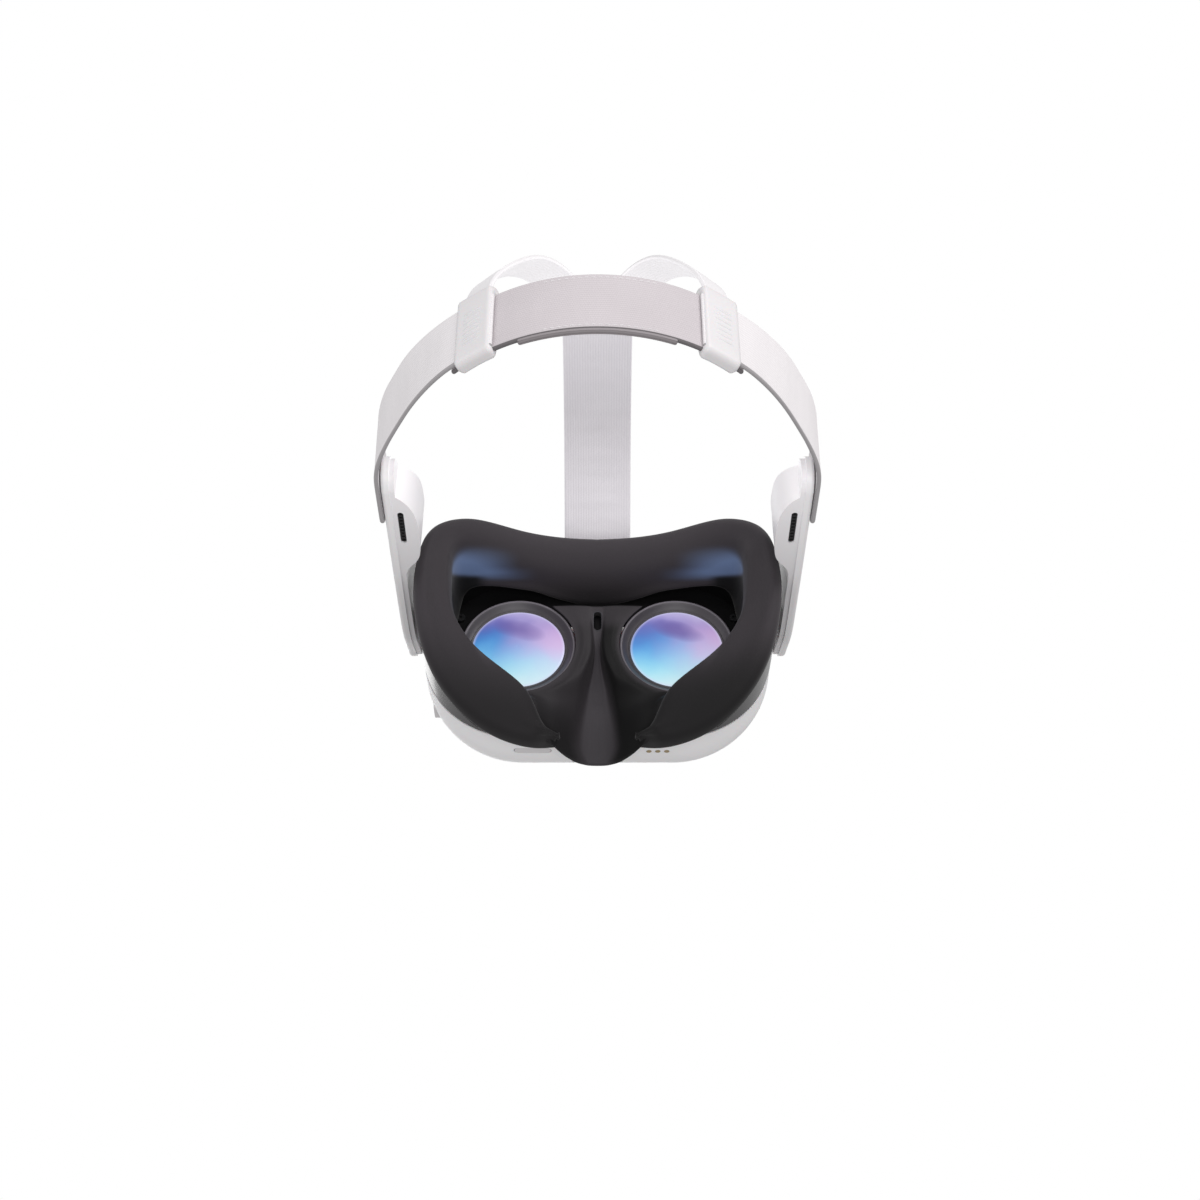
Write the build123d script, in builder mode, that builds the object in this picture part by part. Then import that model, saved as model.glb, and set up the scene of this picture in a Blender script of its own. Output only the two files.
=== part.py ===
from build123d import *
import math
import os

# Stand-alone virtual reality headset with fabric head straps. Millimetres.
# Design frame: X across the head (+X is the wearer's left), Y from the visor front (-Y) to
# the back of the head (+Y), Z up, zero midway between the two eye lenses. Pieces are written
# in the row frame, whose origin is the bottom centre of the whole headset's bounding box.
# Left pieces are modelled and mirrored for the right. Places on a YZ plane are (y, z).

os.makedirs("parts", exist_ok=True)

# ---- driving dimensions -------------------------------------------------------------
ROW_SHIFT = (0.0, -67.45, 52.0413)   # design frame to row frame
SIDES = (1, -1)                      # left, right

# visor
VISOR_HALF_WIDTH = 79.0
VISOR_TOP = 46.0
VISOR_BOTTOM = -44.0
VISOR_MID_Z = (VISOR_TOP + VISOR_BOTTOM) / 2
VISOR_HEIGHT = VISOR_TOP - VISOR_BOTTOM
VISOR_CORNER = 44.8
VISOR_FRONT = -56.0
SHELL_REAR = -8.0
FRONT_ROUND = 40.0
WALL = 2.2

# optics
LENS_SPACING = 72.0
LENS_X = LENS_SPACING / 2
LENS_IN = 7.0            # inward travel of each lens
LENS_OUT = 1.5           # outward travel of each lens
LENS_R = 20.4
BARREL_R = 24.4
BARREL_BORE_R = 18.2
DISPLAY_REAR = -22.0     # face where barrel and display meet

# guide rods and lens spacing drive
ROD_R = 2.0
ROD_BORE_R = ROD_R + 0.05
ROD_HALF_LENGTH = 51.0
ROD_TOP = (-17.0, 30.5)
ROD_LOW = (-25.8, -29.6)
MODULE = 0.5
TEETH = 16
PINION_R = MODULE * TEETH / 2
PINION_Z = -24.5
PITCH = math.pi * MODULE
BACKLASH = 0.10
TAN_20 = math.tan(math.radians(20))  # pressure angle
WHEEL_REAR = -30.1
WHEEL_T = 3.3

# strap arms
PIVOT = (-20.0, 25.0)
PIVOT_Y, PIVOT_Z = PIVOT
ARM_OUT = 88.6           # outer face of each strap arm
ARM_IN = 83.0            # inner face of each strap arm
POD_X = 85.2             # joint between inner pod and outer shell

# straps
BAND_Z0, BAND_Z1 = 4.0, 34.0
BAND_T = 2.0
HEAD_Y = 112.0           # centre of the rear arc of the strap, in plan
TOP_STRAP_W = 31.5
BAR = (-15.0, 52.5)      # bar that the top strap loops round
BAR_Y, BAR_Z = BAR

# fittings that pass through openings in the visor; sizes are those of the fitting
WINDOW_X = 37.0
WINDOW_W, WINDOW_H, WINDOW_Z = 15.0, 42.0, 1.0
POWER_PLACE, POWER_SIZE = (-25.0, -17.0), (10.0, 3.4)
USB_PLACE, USB_SIZE = (-32.0, -2.0), (9.3, 3.6)
JACK_PLACE, JACK_BODY_R = (-26.0, -12.0), 2.95
ROCKER_PLACE = (29.0, -17.8)
CONTACTS, CONTACT_R = [(x, -18.5) for x in (-31, -27, -23)], 1.15
BRACKET_SCREWS, BRACKET_SCREW_R = [(-13, BAR_Y), (13, BAR_Y)], 1.1
BEZEL_REAR = -7.0
BEZEL_SCREWS = [(-63.5, 22), (63.5, 22), (-63.5, -21), (63.5, -21)]
SENSOR_PLACE, SENSOR_SIZE = (0, 16.0), (6.6, 4.0)


# ---- helpers ------------------------------------------------------------------------
def write(builder, name):
    """Labels one finished piece and writes it in the row frame."""
    piece = builder.part.moved(Location(ROW_SHIFT))
    piece.label = name
    export_step(piece, f"parts/{name}.step")


def mirrored(builder):
    """The same piece on the other side of the head."""
    with BuildPart() as other:
        add(mirror(builder.part, about=Plane.YZ))
    return other


def write_pair(builder, stem):
    """Writes a left piece and its mirror image."""
    write(builder, f"{stem}_left")
    write(mirrored(builder), f"{stem}_right")


def at_lens(builder):
    """A piece modelled about the Y axis, moved to the left lens axis."""
    with BuildPart() as moved_part:
        add(builder.part.moved(Location((LENS_X, 0, 0))))
    return moved_part


def xz(y):
    """Sketch plane at depth y, local x along X, local y along Z, extruding towards the front."""
    return Plane.XZ.offset(-y)


# These four draw into the sketch that is open where they are called.
def circle_at(radius, *places, mode=Mode.ADD):
    with Locations(*places):
        Circle(radius, mode=mode)


def slot_at(place, length, width, rotation=0, mode=Mode.ADD):
    with Locations(place):
        SlotOverall(length, width, rotation=rotation, mode=mode)


def rounded_at(place, width, height, corner):
    with Locations(place):
        RectangleRounded(width, height, corner)


def visor_outline(inset, mode=Mode.ADD):
    """Front view of the visor, inset all round."""
    width = 2 * (VISOR_HALF_WIDTH - inset)
    with Locations((0, VISOR_MID_Z)):
        RectangleRounded(width, VISOR_HEIGHT - 2 * inset, VISOR_CORNER - inset, mode=mode)


def visor_ring(outer_inset, inner_inset):
    """Ring between two insets of the visor outline, for the open sketch."""
    visor_outline(outer_inset)
    visor_outline(inner_inset, mode=Mode.SUBTRACT)


# ---- visor body forms ---------------------------------------------------------------
def visor_form(inset, y_rear):
    """Rounded pod, inset from the outer surface."""
    with BuildPart() as form:
        with BuildSketch(xz(y_rear)):
            visor_outline(inset)
        extrude(amount=y_rear - (VISOR_FRONT + inset))
        fillet(form.faces().sort_by(Axis.Y)[0].edges(), FRONT_ROUND - inset)
    return form.part


OUTER = visor_form(0.0, SHELL_REAR)
INNER = visor_form(WALL, SHELL_REAR + 1.0)
WINDOW_OUTER = visor_form(0.25, SHELL_REAR)
WINDOW_INNER = visor_form(1.9, SHELL_REAR + 1.0)
ROOM = visor_form(WALL + 0.35, SHELL_REAR + 1.0)      # space for the fixed inner pieces


def inset_at(y):
    """How far the rounded front pulls the inner surface in at depth y."""
    radius = FRONT_ROUND - WALL
    ahead = max(0.0, VISOR_FRONT + FRONT_ROUND - y)
    return WALL + radius - math.sqrt(max(radius * radius - ahead * ahead, 0.0))


def notch_prism(half_width, depth_front, z_top, y_rear=40.0):
    """Arch shaped prism that clears the nose from underneath."""
    z_bottom = -70
    with BuildPart() as prism:
        with BuildSketch(Plane.XY.offset(z_bottom)):
            with BuildLine():
                left = [(half_width + 5, y_rear), (half_width + 2.5, 0),
                        (half_width, SHELL_REAR), (half_width * 0.7, depth_front + 3.5)]
                Spline(*left, (0, depth_front), *[(-x, y) for x, y in left[::-1]])
                Line((-half_width - 5, y_rear), (half_width + 5, y_rear))
            make_face()
        extrude(amount=z_top - z_bottom)
    return prism.part


def window_prism(x, clearance):
    """Upright slot shape of a sensor window, running forwards."""
    with BuildPart() as prism:
        with BuildSketch(xz(-40)):
            slot_at((x, WINDOW_Z), WINDOW_H + 2 * clearance, WINDOW_W + 2 * clearance, 90)
        extrude(amount=20)
    return prism.part


# ---- front shell --------------------------------------------------------------------
with BuildPart() as front_shell:
    add(OUTER)
    # hinge bosses for the strap arms
    for side in SIDES:
        with BuildSketch(Plane.YZ.offset(side * (ARM_IN - 0.8))):
            circle_at(10.6, PIVOT)
        extrude(amount=-side * 27, taper=-10)
    # trim everything behind the rear edge, then hollow
    with BuildSketch(xz(SHELL_REAR + 30)):
        Rectangle(400, 400)
    extrude(amount=30, mode=Mode.SUBTRACT)
    add(INNER, mode=Mode.SUBTRACT)
    add(notch_prism(20.0, -25.5, -33.0), mode=Mode.SUBTRACT)
    for window_x in (-WINDOW_X, 0, WINDOW_X):
        add(window_prism(window_x, 0.15), mode=Mode.SUBTRACT)
    # pivot pin sockets
    for side in SIDES:
        with BuildSketch(Plane.YZ.offset(side * 90)):
            circle_at(4.0, PIVOT)
        extrude(amount=-side * 40, mode=Mode.SUBTRACT)
    # top strap bracket screw holes
    with BuildSketch(Plane.XY.offset(VISOR_TOP + 5)):
        circle_at(BRACKET_SCREW_R + 0.1, *BRACKET_SCREWS)
    extrude(amount=-12, mode=Mode.SUBTRACT)
    # exhaust slots along the top
    with BuildSketch(Plane.XY.offset(VISOR_TOP + 5)):
        with Locations(*[(x, -33) for x in range(-24, 25, 4)]):
            SlotOverall(9, 1.5, rotation=90)
    extrude(amount=-22, mode=Mode.SUBTRACT)
    # wheel slot, charging contact holes and volume rocker opening in the underside
    with BuildSketch(Plane.XY.offset(VISOR_BOTTOM - 5)):
        rounded_at((0, WHEEL_REAR - WHEEL_T / 2), 23.0, WHEEL_T + 1.0, 0.6)
        circle_at(CONTACT_R + 0.1, *CONTACTS)
        slot_at(ROCKER_PLACE, 17.0, 4.4)
    extrude(amount=12, mode=Mode.SUBTRACT)
    # power button and USB port openings in the left side
    with BuildSketch(Plane.YZ.offset(62)):
        slot_at(POWER_PLACE, POWER_SIZE[0] + 0.4, POWER_SIZE[1] + 0.4)
        slot_at(USB_PLACE, USB_SIZE[0] + 0.3, USB_SIZE[1] + 0.3)
    extrude(amount=24, mode=Mode.SUBTRACT)
    # headphone jack opening in the right side
    with BuildSketch(Plane.YZ.offset(-62)):
        circle_at(JACK_BODY_R + 0.1, JACK_PLACE)
    extrude(amount=-24, mode=Mode.SUBTRACT)
write(front_shell, "front_shell")

# ---- sensor windows -----------------------------------------------------------------
for place_name, window_x in (("right", -WINDOW_X), ("center", 0.0), ("left", WINDOW_X)):
    with BuildPart() as sensor_window:
        add(window_prism(window_x, 0.0))
        add(WINDOW_OUTER, mode=Mode.INTERSECT)
        add(WINDOW_INNER, mode=Mode.SUBTRACT)
    write(sensor_window, f"sensor_window_{place_name}")


# ---- cameras ------------------------------------------------------------------------
def camera(x, z, radius, body):
    """Square sensor body with a stepped lens snout that faces the front."""
    with BuildPart() as cam:
        with BuildSketch(xz(-45.4)):
            rounded_at((x, z), body, body, 1.0)
        extrude(amount=2.6)
        # the two steps of the snout: rear face, radius, length
        for step_y, step_r, length in ((-48.0, radius, 3.0), (-51.0, radius * 0.72, 1.5)):
            with BuildSketch(xz(step_y)):
                circle_at(step_r, (x, z))
            extrude(amount=length)
        # recess in the tip
        with BuildSketch(xz(-52.5)):
            circle_at(radius * 0.45, (x, z))
        extrude(amount=-0.9, mode=Mode.SUBTRACT)
    return cam


# name, x, z, snout radius, body width
CAMERAS = [
    ("tracking_camera_left", WINDOW_X, 11.0, 5.0, 11.0),
    ("tracking_camera_right", -WINDOW_X, 11.0, 5.0, 11.0),
    ("colour_camera_left", WINDOW_X, -9.0, 4.2, 10.0),
    ("colour_camera_right", -WINDOW_X, -9.0, 4.2, 10.0),
    ("depth_projector", 0.0, 6.0, 4.6, 10.0),
]
for camera_name, *camera_sizes in CAMERAS:
    write(camera(*camera_sizes), camera_name)

# ---- chassis plate ------------------------------------------------------------------
PLATE_REAR, PLATE_T = -40.8, 1.4
POST_X = 48.0
with BuildPart() as chassis_plate:
    with BuildSketch(xz(PLATE_REAR)):
        visor_outline(inset_at(PLATE_REAR - PLATE_T) + 0.4)
        circle_at(1.56, (0, PINION_Z), mode=Mode.SUBTRACT)
        circle_at(5.0, (-50, 20), (50, 20), (-50, -18), (50, -18), mode=Mode.SUBTRACT)
    extrude(amount=PLATE_T)
    # posts that hold both ends of the two guide rods
    for side in SIDES:
        for rod_y, rod_z in (ROD_TOP, ROD_LOW):
            with BuildSketch(xz(rod_y + 3.2)):
                rounded_at((side * POST_X, rod_z), 3.6, 6.4, 1.0)
            extrude(amount=rod_y + 3.2 + 41.0)
            with BuildSketch(Plane.YZ.offset(side * POST_X)):
                circle_at(ROD_R, (rod_y, rod_z))
            extrude(amount=4.0, both=True, mode=Mode.SUBTRACT)
    add(ROOM, mode=Mode.INTERSECT)
write(chassis_plate, "chassis_plate")

# ---- main board ---------------------------------------------------------------------
BOARD_REAR, BOARD_T = -42.9, 1.0
BOARD_FIT_Y = -44.4      # depth at which the board outline clears the shell
with BuildPart() as main_board:
    with BuildSketch(xz(BOARD_REAR)):
        visor_outline(inset_at(BOARD_FIT_Y) + 0.6)
        with Locations((0, PINION_Z - 2)):
            Rectangle(26, 22, mode=Mode.SUBTRACT)
    extrude(amount=BOARD_T)
    # raised blocks on the front face
    with BuildSketch(xz(BOARD_REAR - BOARD_T)):
        with Locations((50, 12), (50, -8), (-50, 12), (-50, -8)):
            RectangleRounded(11, 12, 0.6)
        rounded_at((18.5, -17.0), 14, 6, 0.5)
    extrude(amount=1.2)
    add(ROOM, mode=Mode.INTERSECT)
write(main_board, "main_board")

# ---- heat spreader ------------------------------------------------------------------
SPREADER_REAR, SPREADER_T, SPREADER_Z = -44.05, 2.6, 24.3
with BuildPart() as heat_spreader:
    with BuildSketch(xz(SPREADER_REAR)):
        rounded_at((0, SPREADER_Z), 74, 7.0, 2.0)
    extrude(amount=SPREADER_T)
    # fins
    with BuildSketch(xz(SPREADER_REAR - SPREADER_T)):
        with Locations(*[(x, SPREADER_Z) for x in range(-33, 34, 3)]):
            Rectangle(0.9, 6.0)
    extrude(amount=2.0)
    add(ROOM, mode=Mode.INTERSECT)
write(heat_spreader, "heat_spreader")

# ---- fan ----------------------------------------------------------------------------
FAN_PLACE = (18.5, 6.0)
FAN_REAR, FAN_DEPTH, FAN_FLOOR = -44.2, 6.6, 1.0
FAN_OUTER_R, FAN_WALL = 12.0, 1.0
with BuildPart() as fan_housing:
    with BuildSketch(xz(FAN_REAR)):
        circle_at(FAN_OUTER_R, FAN_PLACE)
    extrude(amount=FAN_DEPTH)
    with BuildSketch(xz(FAN_REAR - FAN_FLOOR)):
        circle_at(FAN_OUTER_R - FAN_WALL, FAN_PLACE)
    extrude(amount=FAN_DEPTH - FAN_FLOOR, mode=Mode.SUBTRACT)
    # spindle
    with BuildSketch(xz(FAN_REAR - FAN_FLOOR)):
        circle_at(1.0, FAN_PLACE)
    extrude(amount=4.0)
write(fan_housing, "fan_housing")

ROTOR_REAR = FAN_REAR - FAN_FLOOR - 0.5
with BuildPart() as fan_rotor:
    with BuildSketch(xz(ROTOR_REAR)):
        circle_at(4.6, FAN_PLACE)
    extrude(amount=4.4)
    with BuildSketch(xz(ROTOR_REAR - 0.2)):
        with Locations(FAN_PLACE):
            with PolarLocations(7.2, 11):
                Rectangle(6.0, 0.8, rotation=24)
    extrude(amount=4.0)
    # blind bore for the spindle
    with BuildSketch(xz(ROTOR_REAR)):
        circle_at(1.05, FAN_PLACE)
    extrude(amount=3.7, mode=Mode.SUBTRACT)
write(fan_rotor, "fan_rotor")

# ---- battery ------------------------------------------------------------------------
with BuildPart() as battery_pack:
    with BuildSketch(xz(-44.2)):
        rounded_at((-18.5, 0.5), 23.0, 34.0, 2.5)
    extrude(amount=7.0)
    fillet(battery_pack.faces().sort_by(Axis.Y)[0].edges(), 1.2)
write(battery_pack, "battery_pack")

# ---- rear bezel ---------------------------------------------------------------------
# lens openings span the lens travel
OPEN_IN = LENS_X - LENS_IN - 0.5
OPEN_OUT = LENS_X + LENS_OUT + 0.5
OPEN_R = BARREL_R + 0.5
with BuildPart() as rear_bezel:
    with BuildSketch(xz(5.0)):
        visor_ring(WALL + 0.2, WALL + 2.0)
    extrude(amount=19.0)
    with BuildSketch(xz(BEZEL_REAR)):
        visor_outline(WALL + 1.0)
        for side in SIDES:
            slot_at((side * (OPEN_IN + OPEN_OUT) / 2, 0),
                    OPEN_OUT - OPEN_IN + 2 * OPEN_R, 2 * OPEN_R, mode=Mode.SUBTRACT)
    extrude(amount=2.0)
    # raised bridge that carries the proximity sensor
    with BuildSketch(xz(BEZEL_REAR)):
        rounded_at((0, 16.5), 8.6, 13.0, 3.2)
    extrude(amount=-5.0)
    with BuildSketch(xz(-1.0)):
        slot_at(SENSOR_PLACE, SENSOR_SIZE[0] + 0.3, SENSOR_SIZE[1] + 0.3, 90)
    extrude(amount=4.0, mode=Mode.SUBTRACT)
    add(notch_prism(20.4, -26.0, -32.6), mode=Mode.SUBTRACT)
    # relief for the nose flap: narrow upper part, wide lower part
    with BuildSketch(xz(10.0)):
        Rectangle(11.0, 70.0, align=(Align.CENTER, Align.MAX))
    with BuildSketch(xz(10.0)):
        with Locations((0, -8)):
            Rectangle(62.0, 38.0, align=(Align.CENTER, Align.MAX))
    extrude(amount=30.0, mode=Mode.SUBTRACT)
    with BuildSketch(xz(0.0)):
        circle_at(1.15, *BEZEL_SCREWS)
    extrude(amount=12.0, mode=Mode.SUBTRACT)
write(rear_bezel, "rear_bezel")

SCREW_HEAD_T = 1.3
with BuildPart() as bezel_screws:
    # heads, shanks and hexagon sockets
    with BuildSketch(xz(BEZEL_REAR)):
        circle_at(2.1, *BEZEL_SCREWS)
    extrude(amount=-SCREW_HEAD_T)
    with BuildSketch(xz(BEZEL_REAR)):
        circle_at(1.0, *BEZEL_SCREWS)
    extrude(amount=7.0)
    with BuildSketch(xz(BEZEL_REAR + SCREW_HEAD_T)):
        with Locations(*BEZEL_SCREWS):
            RegularPolygon(0.9, 6)
    extrude(amount=0.8, mode=Mode.SUBTRACT)
write(bezel_screws, "bezel_screws")

with BuildPart() as proximity_sensor:
    with BuildSketch(xz(-1.7)):
        slot_at(SENSOR_PLACE, *SENSOR_SIZE, 90)
    extrude(amount=2.9)
write(proximity_sensor, "proximity_sensor")

# ---- lens barrels -------------------------------------------------------------------
SEAT_R = LENS_R + 0.05
# half section: radius, y
BARREL_SECTION = [
    (21.7, -0.4), (22.6, -1.0), (BARREL_R, -7.2), (BARREL_R, DISPLAY_REAR),
    (BARREL_BORE_R, DISPLAY_REAR), (BARREL_BORE_R, -7.0), (SEAT_R, -4.6), (SEAT_R, -1.2),
    (21.7, -0.4),
]
with BuildPart() as lens_barrel:
    with BuildSketch(Plane.XY):
        with BuildLine():
            Polyline(*BARREL_SECTION)
        make_face()
    revolve(axis=Axis.Y)
    # lug on top that slides on the upper guide rod
    with BuildSketch(xz(-13.5)):
        with BuildLine():
            Polyline((-8, 22.6), (8, 22.6), (6.5, 34.2), (-6.5, 34.2), (-8, 22.6))
        make_face()
    extrude(amount=7.0)
    with BuildSketch(xz(-12.0)):
        Circle(BARREL_BORE_R)
    extrude(amount=12.0, mode=Mode.SUBTRACT)
    with BuildSketch(Plane.YZ.offset(-20)):
        circle_at(ROD_BORE_R, ROD_TOP)
    extrude(amount=40, mode=Mode.SUBTRACT)
write_pair(at_lens(lens_barrel), "lens_barrel")

# ---- eye lenses ---------------------------------------------------------------------
# rear then front surface: y near the axis, y at half radius, y at the rim,
# slope at the rim, y beyond the lens
LENS_SURFACES = [(0.88, 0.3, -1.6, -0.22, 3.0), (-6.58, -6.0, -4.2, 0.2, -8.0)]
NEAR_AXIS, PAST_RIM = 0.6, LENS_R + 0.5
with BuildPart() as eye_lens:
    with BuildSketch(xz(0.9)):
        Circle(LENS_R)
    extrude(amount=7.5)
    for axis_y, mid_y, rim_y, rim_slope, beyond_y in LENS_SURFACES:
        with BuildSketch(Plane.XY):
            with BuildLine():
                Spline((NEAR_AXIS, axis_y), (LENS_R * 0.5, mid_y), (PAST_RIM, rim_y),
                       tangents=((1, 0), (1, rim_slope)))
                Polyline((PAST_RIM, rim_y), (PAST_RIM, beyond_y), (NEAR_AXIS, beyond_y),
                         (NEAR_AXIS, axis_y))
            make_face()
        revolve(axis=Axis.Y, mode=Mode.SUBTRACT)
write_pair(at_lens(eye_lens), "eye_lens")

# ---- displays -----------------------------------------------------------------------
DISPLAY_T = 1.0
with BuildPart() as display:
    with BuildSketch(xz(DISPLAY_REAR)):
        Circle(21.5)
    extrude(amount=DISPLAY_T)
    with BuildSketch(xz(DISPLAY_REAR - DISPLAY_T)):
        RectangleRounded(30.0, 30.0, 4.0)
    extrude(amount=1.6)
write_pair(at_lens(display), "display")

# ---- guide rods ---------------------------------------------------------------------
with BuildPart() as guide_rods:
    for rod_place in (ROD_TOP, ROD_LOW):
        with BuildSketch(Plane.YZ.offset(-ROD_HALF_LENGTH)):
            circle_at(ROD_R, rod_place)
        extrude(amount=2 * ROD_HALF_LENGTH)
write(guide_rods, "guide_rods")

# ---- lens spacing drive: two racks in mesh with one pinion --------------------------
RACK_X0, RACK_X1 = -6.0, 12.0        # ends of the toothed length
RACK_REAR, RACK_T = -34.6, 3.8
RACK_BACK = 3.0                      # pitch line to the plain edge of the bar
ADDENDUM, DEDENDUM = 0.40, 0.62
BRACKET_X, BRACKET_W = 40.0, 8.0


def rack_outline(z_pitch, up):
    """Closed outline of the toothed bar; up is +1 when the teeth point up.

    A gap is centred on X = 0.
    """
    half = PITCH / 4 - BACKLASH / 2
    z_root = z_pitch - up * DEDENDUM
    z_tip = z_pitch + up * ADDENDUM
    z_back = z_pitch - up * RACK_BACK
    half_root, half_tip = half + DEDENDUM * TAN_20, half - ADDENDUM * TAN_20
    points = [(RACK_X0, z_root)]
    first = math.ceil((RACK_X0 - PITCH / 2) / PITCH)
    last = math.floor((RACK_X1 - PITCH / 2) / PITCH)
    for k in range(first, last + 1):
        centre = (k + 0.5) * PITCH
        if centre - PITCH / 2 < RACK_X0 or centre + PITCH / 2 > RACK_X1:
            continue
        points += [(centre - half_root, z_root), (centre - half_tip, z_tip),
                   (centre + half_tip, z_tip), (centre + half_root, z_root)]
    return points + [(RACK_X1, z_root), (RACK_X1, z_back), (RACK_X0, z_back), (RACK_X0, z_root)]


def rack(z_pitch, up):
    """Toothed bar, drop bracket and guide rod bush of one lens carriage (left side of head)."""
    bar_z0, bar_z1 = sorted((z_pitch - up * DEDENDUM, z_pitch - up * RACK_BACK))
    bar_mid = (bar_z0 + bar_z1) / 2
    bar_height = bar_z1 - bar_z0
    bar_end = BRACKET_X + BRACKET_W / 2
    with BuildPart() as piece:
        with BuildSketch(xz(RACK_REAR)):
            with BuildLine():
                Polyline(*rack_outline(z_pitch, up))
            make_face()
        extrude(amount=RACK_T)
        with BuildSketch(xz(RACK_REAR)):
            with Locations(((RACK_X1 + bar_end) / 2, bar_mid)):
                Rectangle(bar_end - RACK_X1, bar_height)
        extrude(amount=RACK_T)
        # drop bracket
        with BuildSketch(xz(-28.6)):
            with Locations((BRACKET_X, (ROD_LOW[1] + bar_mid) / 2)):
                Rectangle(BRACKET_W, abs(ROD_LOW[1] - bar_mid) + bar_height)
        extrude(amount=9.8)
        # bush on the lower guide rod
        with BuildSketch(xz(DISPLAY_REAR)):
            rounded_at((BRACKET_X, -27.6), BRACKET_W, 11.3, 1.2)
        extrude(amount=6.9)
        with BuildSketch(Plane.YZ.offset(20)):
            circle_at(ROD_BORE_R, ROD_LOW)
        extrude(amount=40, mode=Mode.SUBTRACT)
    return piece


write(rack(PINION_Z + PINION_R, -1), "ipd_rack_left")
write(mirrored(rack(PINION_Z - PINION_R, 1)), "ipd_rack_right")


def pinion_points():
    """Closed involute tooth outline, one tooth centred on +Z."""
    base = PINION_R * math.cos(math.radians(20))
    tip, root = PINION_R + 0.42, PINION_R - 0.66
    base_half_angle = (PITCH / 2 - BACKLASH) / 2 / PINION_R + TAN_20 - math.radians(20)

    def half_angle(radius):
        """Half the angle that a tooth spans at this radius."""
        if radius <= base:
            return base_half_angle
        pressure = math.acos(base / radius)
        return base_half_angle - (math.tan(pressure) - pressure)

    def flank(centre, sign):
        points = []
        for radius in (root, base, base + 0.15, PINION_R, PINION_R + 0.2, tip):
            angle = centre + sign * half_angle(radius)
            points.append((radius * math.cos(angle), PINION_Z + radius * math.sin(angle)))
        return points

    outline = []
    for k in range(TEETH):
        centre = math.pi / 2 + k * 2 * math.pi / TEETH
        outline += flank(centre, -1) + flank(centre, 1)[::-1]
    return outline + [outline[0]]


with BuildPart() as ipd_wheel:
    # thumb wheel with a notched rim and six round holes
    with BuildSketch(xz(WHEEL_REAR)):
        with Locations((0, PINION_Z)):
            Circle(17.0)
            with PolarLocations(17.1, 60):
                Circle(0.45, mode=Mode.SUBTRACT)
            with PolarLocations(10.0, 6):
                Circle(2.2, mode=Mode.SUBTRACT)
    extrude(amount=WHEEL_T)
    # pinion
    with BuildSketch(xz(WHEEL_REAR - WHEEL_T)):
        with BuildLine():
            Polyline(*pinion_points())
        make_face()
    extrude(amount=5.2)
    # axle
    with BuildSketch(xz(-28.9)):
        circle_at(1.5, (0, PINION_Z))
    extrude(amount=13.2)
write(ipd_wheel, "ipd_wheel")

# ---- buttons and ports --------------------------------------------------------------
POWER_FLANGE_X, POWER_FLANGE_T = 66.0, 1.2
with BuildPart() as power_button:
    with BuildSketch(Plane.YZ.offset(POWER_FLANGE_X)):
        slot_at(POWER_PLACE, 13.0, 6.0)
    extrude(amount=POWER_FLANGE_T)
    with BuildSketch(Plane.YZ.offset(POWER_FLANGE_X + POWER_FLANGE_T)):
        slot_at(POWER_PLACE, *POWER_SIZE)
    extrude(amount=7.9)
    fillet(power_button.faces().sort_by(Axis.X)[-1].edges(), 0.5)
write(power_button, "power_button")

with BuildPart() as volume_rocker:
    with BuildSketch(Plane.XY.offset(VISOR_BOTTOM + 0.15)):
        slot_at(ROCKER_PLACE, 16.2, 3.9)
    extrude(amount=3.2)
write(volume_rocker, "volume_rocker")

with BuildPart() as charging_contacts:
    with BuildSketch(Plane.XY.offset(VISOR_BOTTOM + 0.1)):
        circle_at(CONTACT_R, *CONTACTS)
    extrude(amount=3.0)
write(charging_contacts, "charging_contacts")

JACK_OUTER_X, JACK_BARREL_LENGTH = -75.0, 4.6
with BuildPart() as headphone_jack:
    with BuildSketch(Plane.YZ.offset(JACK_OUTER_X)):
        circle_at(JACK_BODY_R, JACK_PLACE)
    extrude(amount=JACK_BARREL_LENGTH)
    with BuildSketch(Plane.YZ.offset(JACK_OUTER_X + JACK_BARREL_LENGTH)):
        rounded_at(JACK_PLACE, 6.6, 6.6, 1.0)
    extrude(amount=11.4)
    # plug bore
    with BuildSketch(Plane.YZ.offset(JACK_OUTER_X)):
        circle_at(1.8, JACK_PLACE)
    extrude(amount=14.0, mode=Mode.SUBTRACT)
write(headphone_jack, "headphone_jack")

USB_INNER_X, USB_FLOOR, USB_WALL = 67.0, 0.8, 0.25
with BuildPart() as usb_port:
    # shell, floor and tongue
    with BuildSketch(Plane.YZ.offset(USB_INNER_X)):
        slot_at(USB_PLACE, *USB_SIZE)
        slot_at(USB_PLACE, USB_SIZE[0] - 2 * USB_WALL, USB_SIZE[1] - 2 * USB_WALL,
                mode=Mode.SUBTRACT)
    extrude(amount=7.2)
    with BuildSketch(Plane.YZ.offset(USB_INNER_X)):
        slot_at(USB_PLACE, *USB_SIZE)
    extrude(amount=USB_FLOOR)
    with BuildSketch(Plane.YZ.offset(USB_INNER_X + USB_FLOOR)):
        with Locations(USB_PLACE):
            Rectangle(6.6, 0.7)
    extrude(amount=5.4)
write(usb_port, "usb_port")

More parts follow.
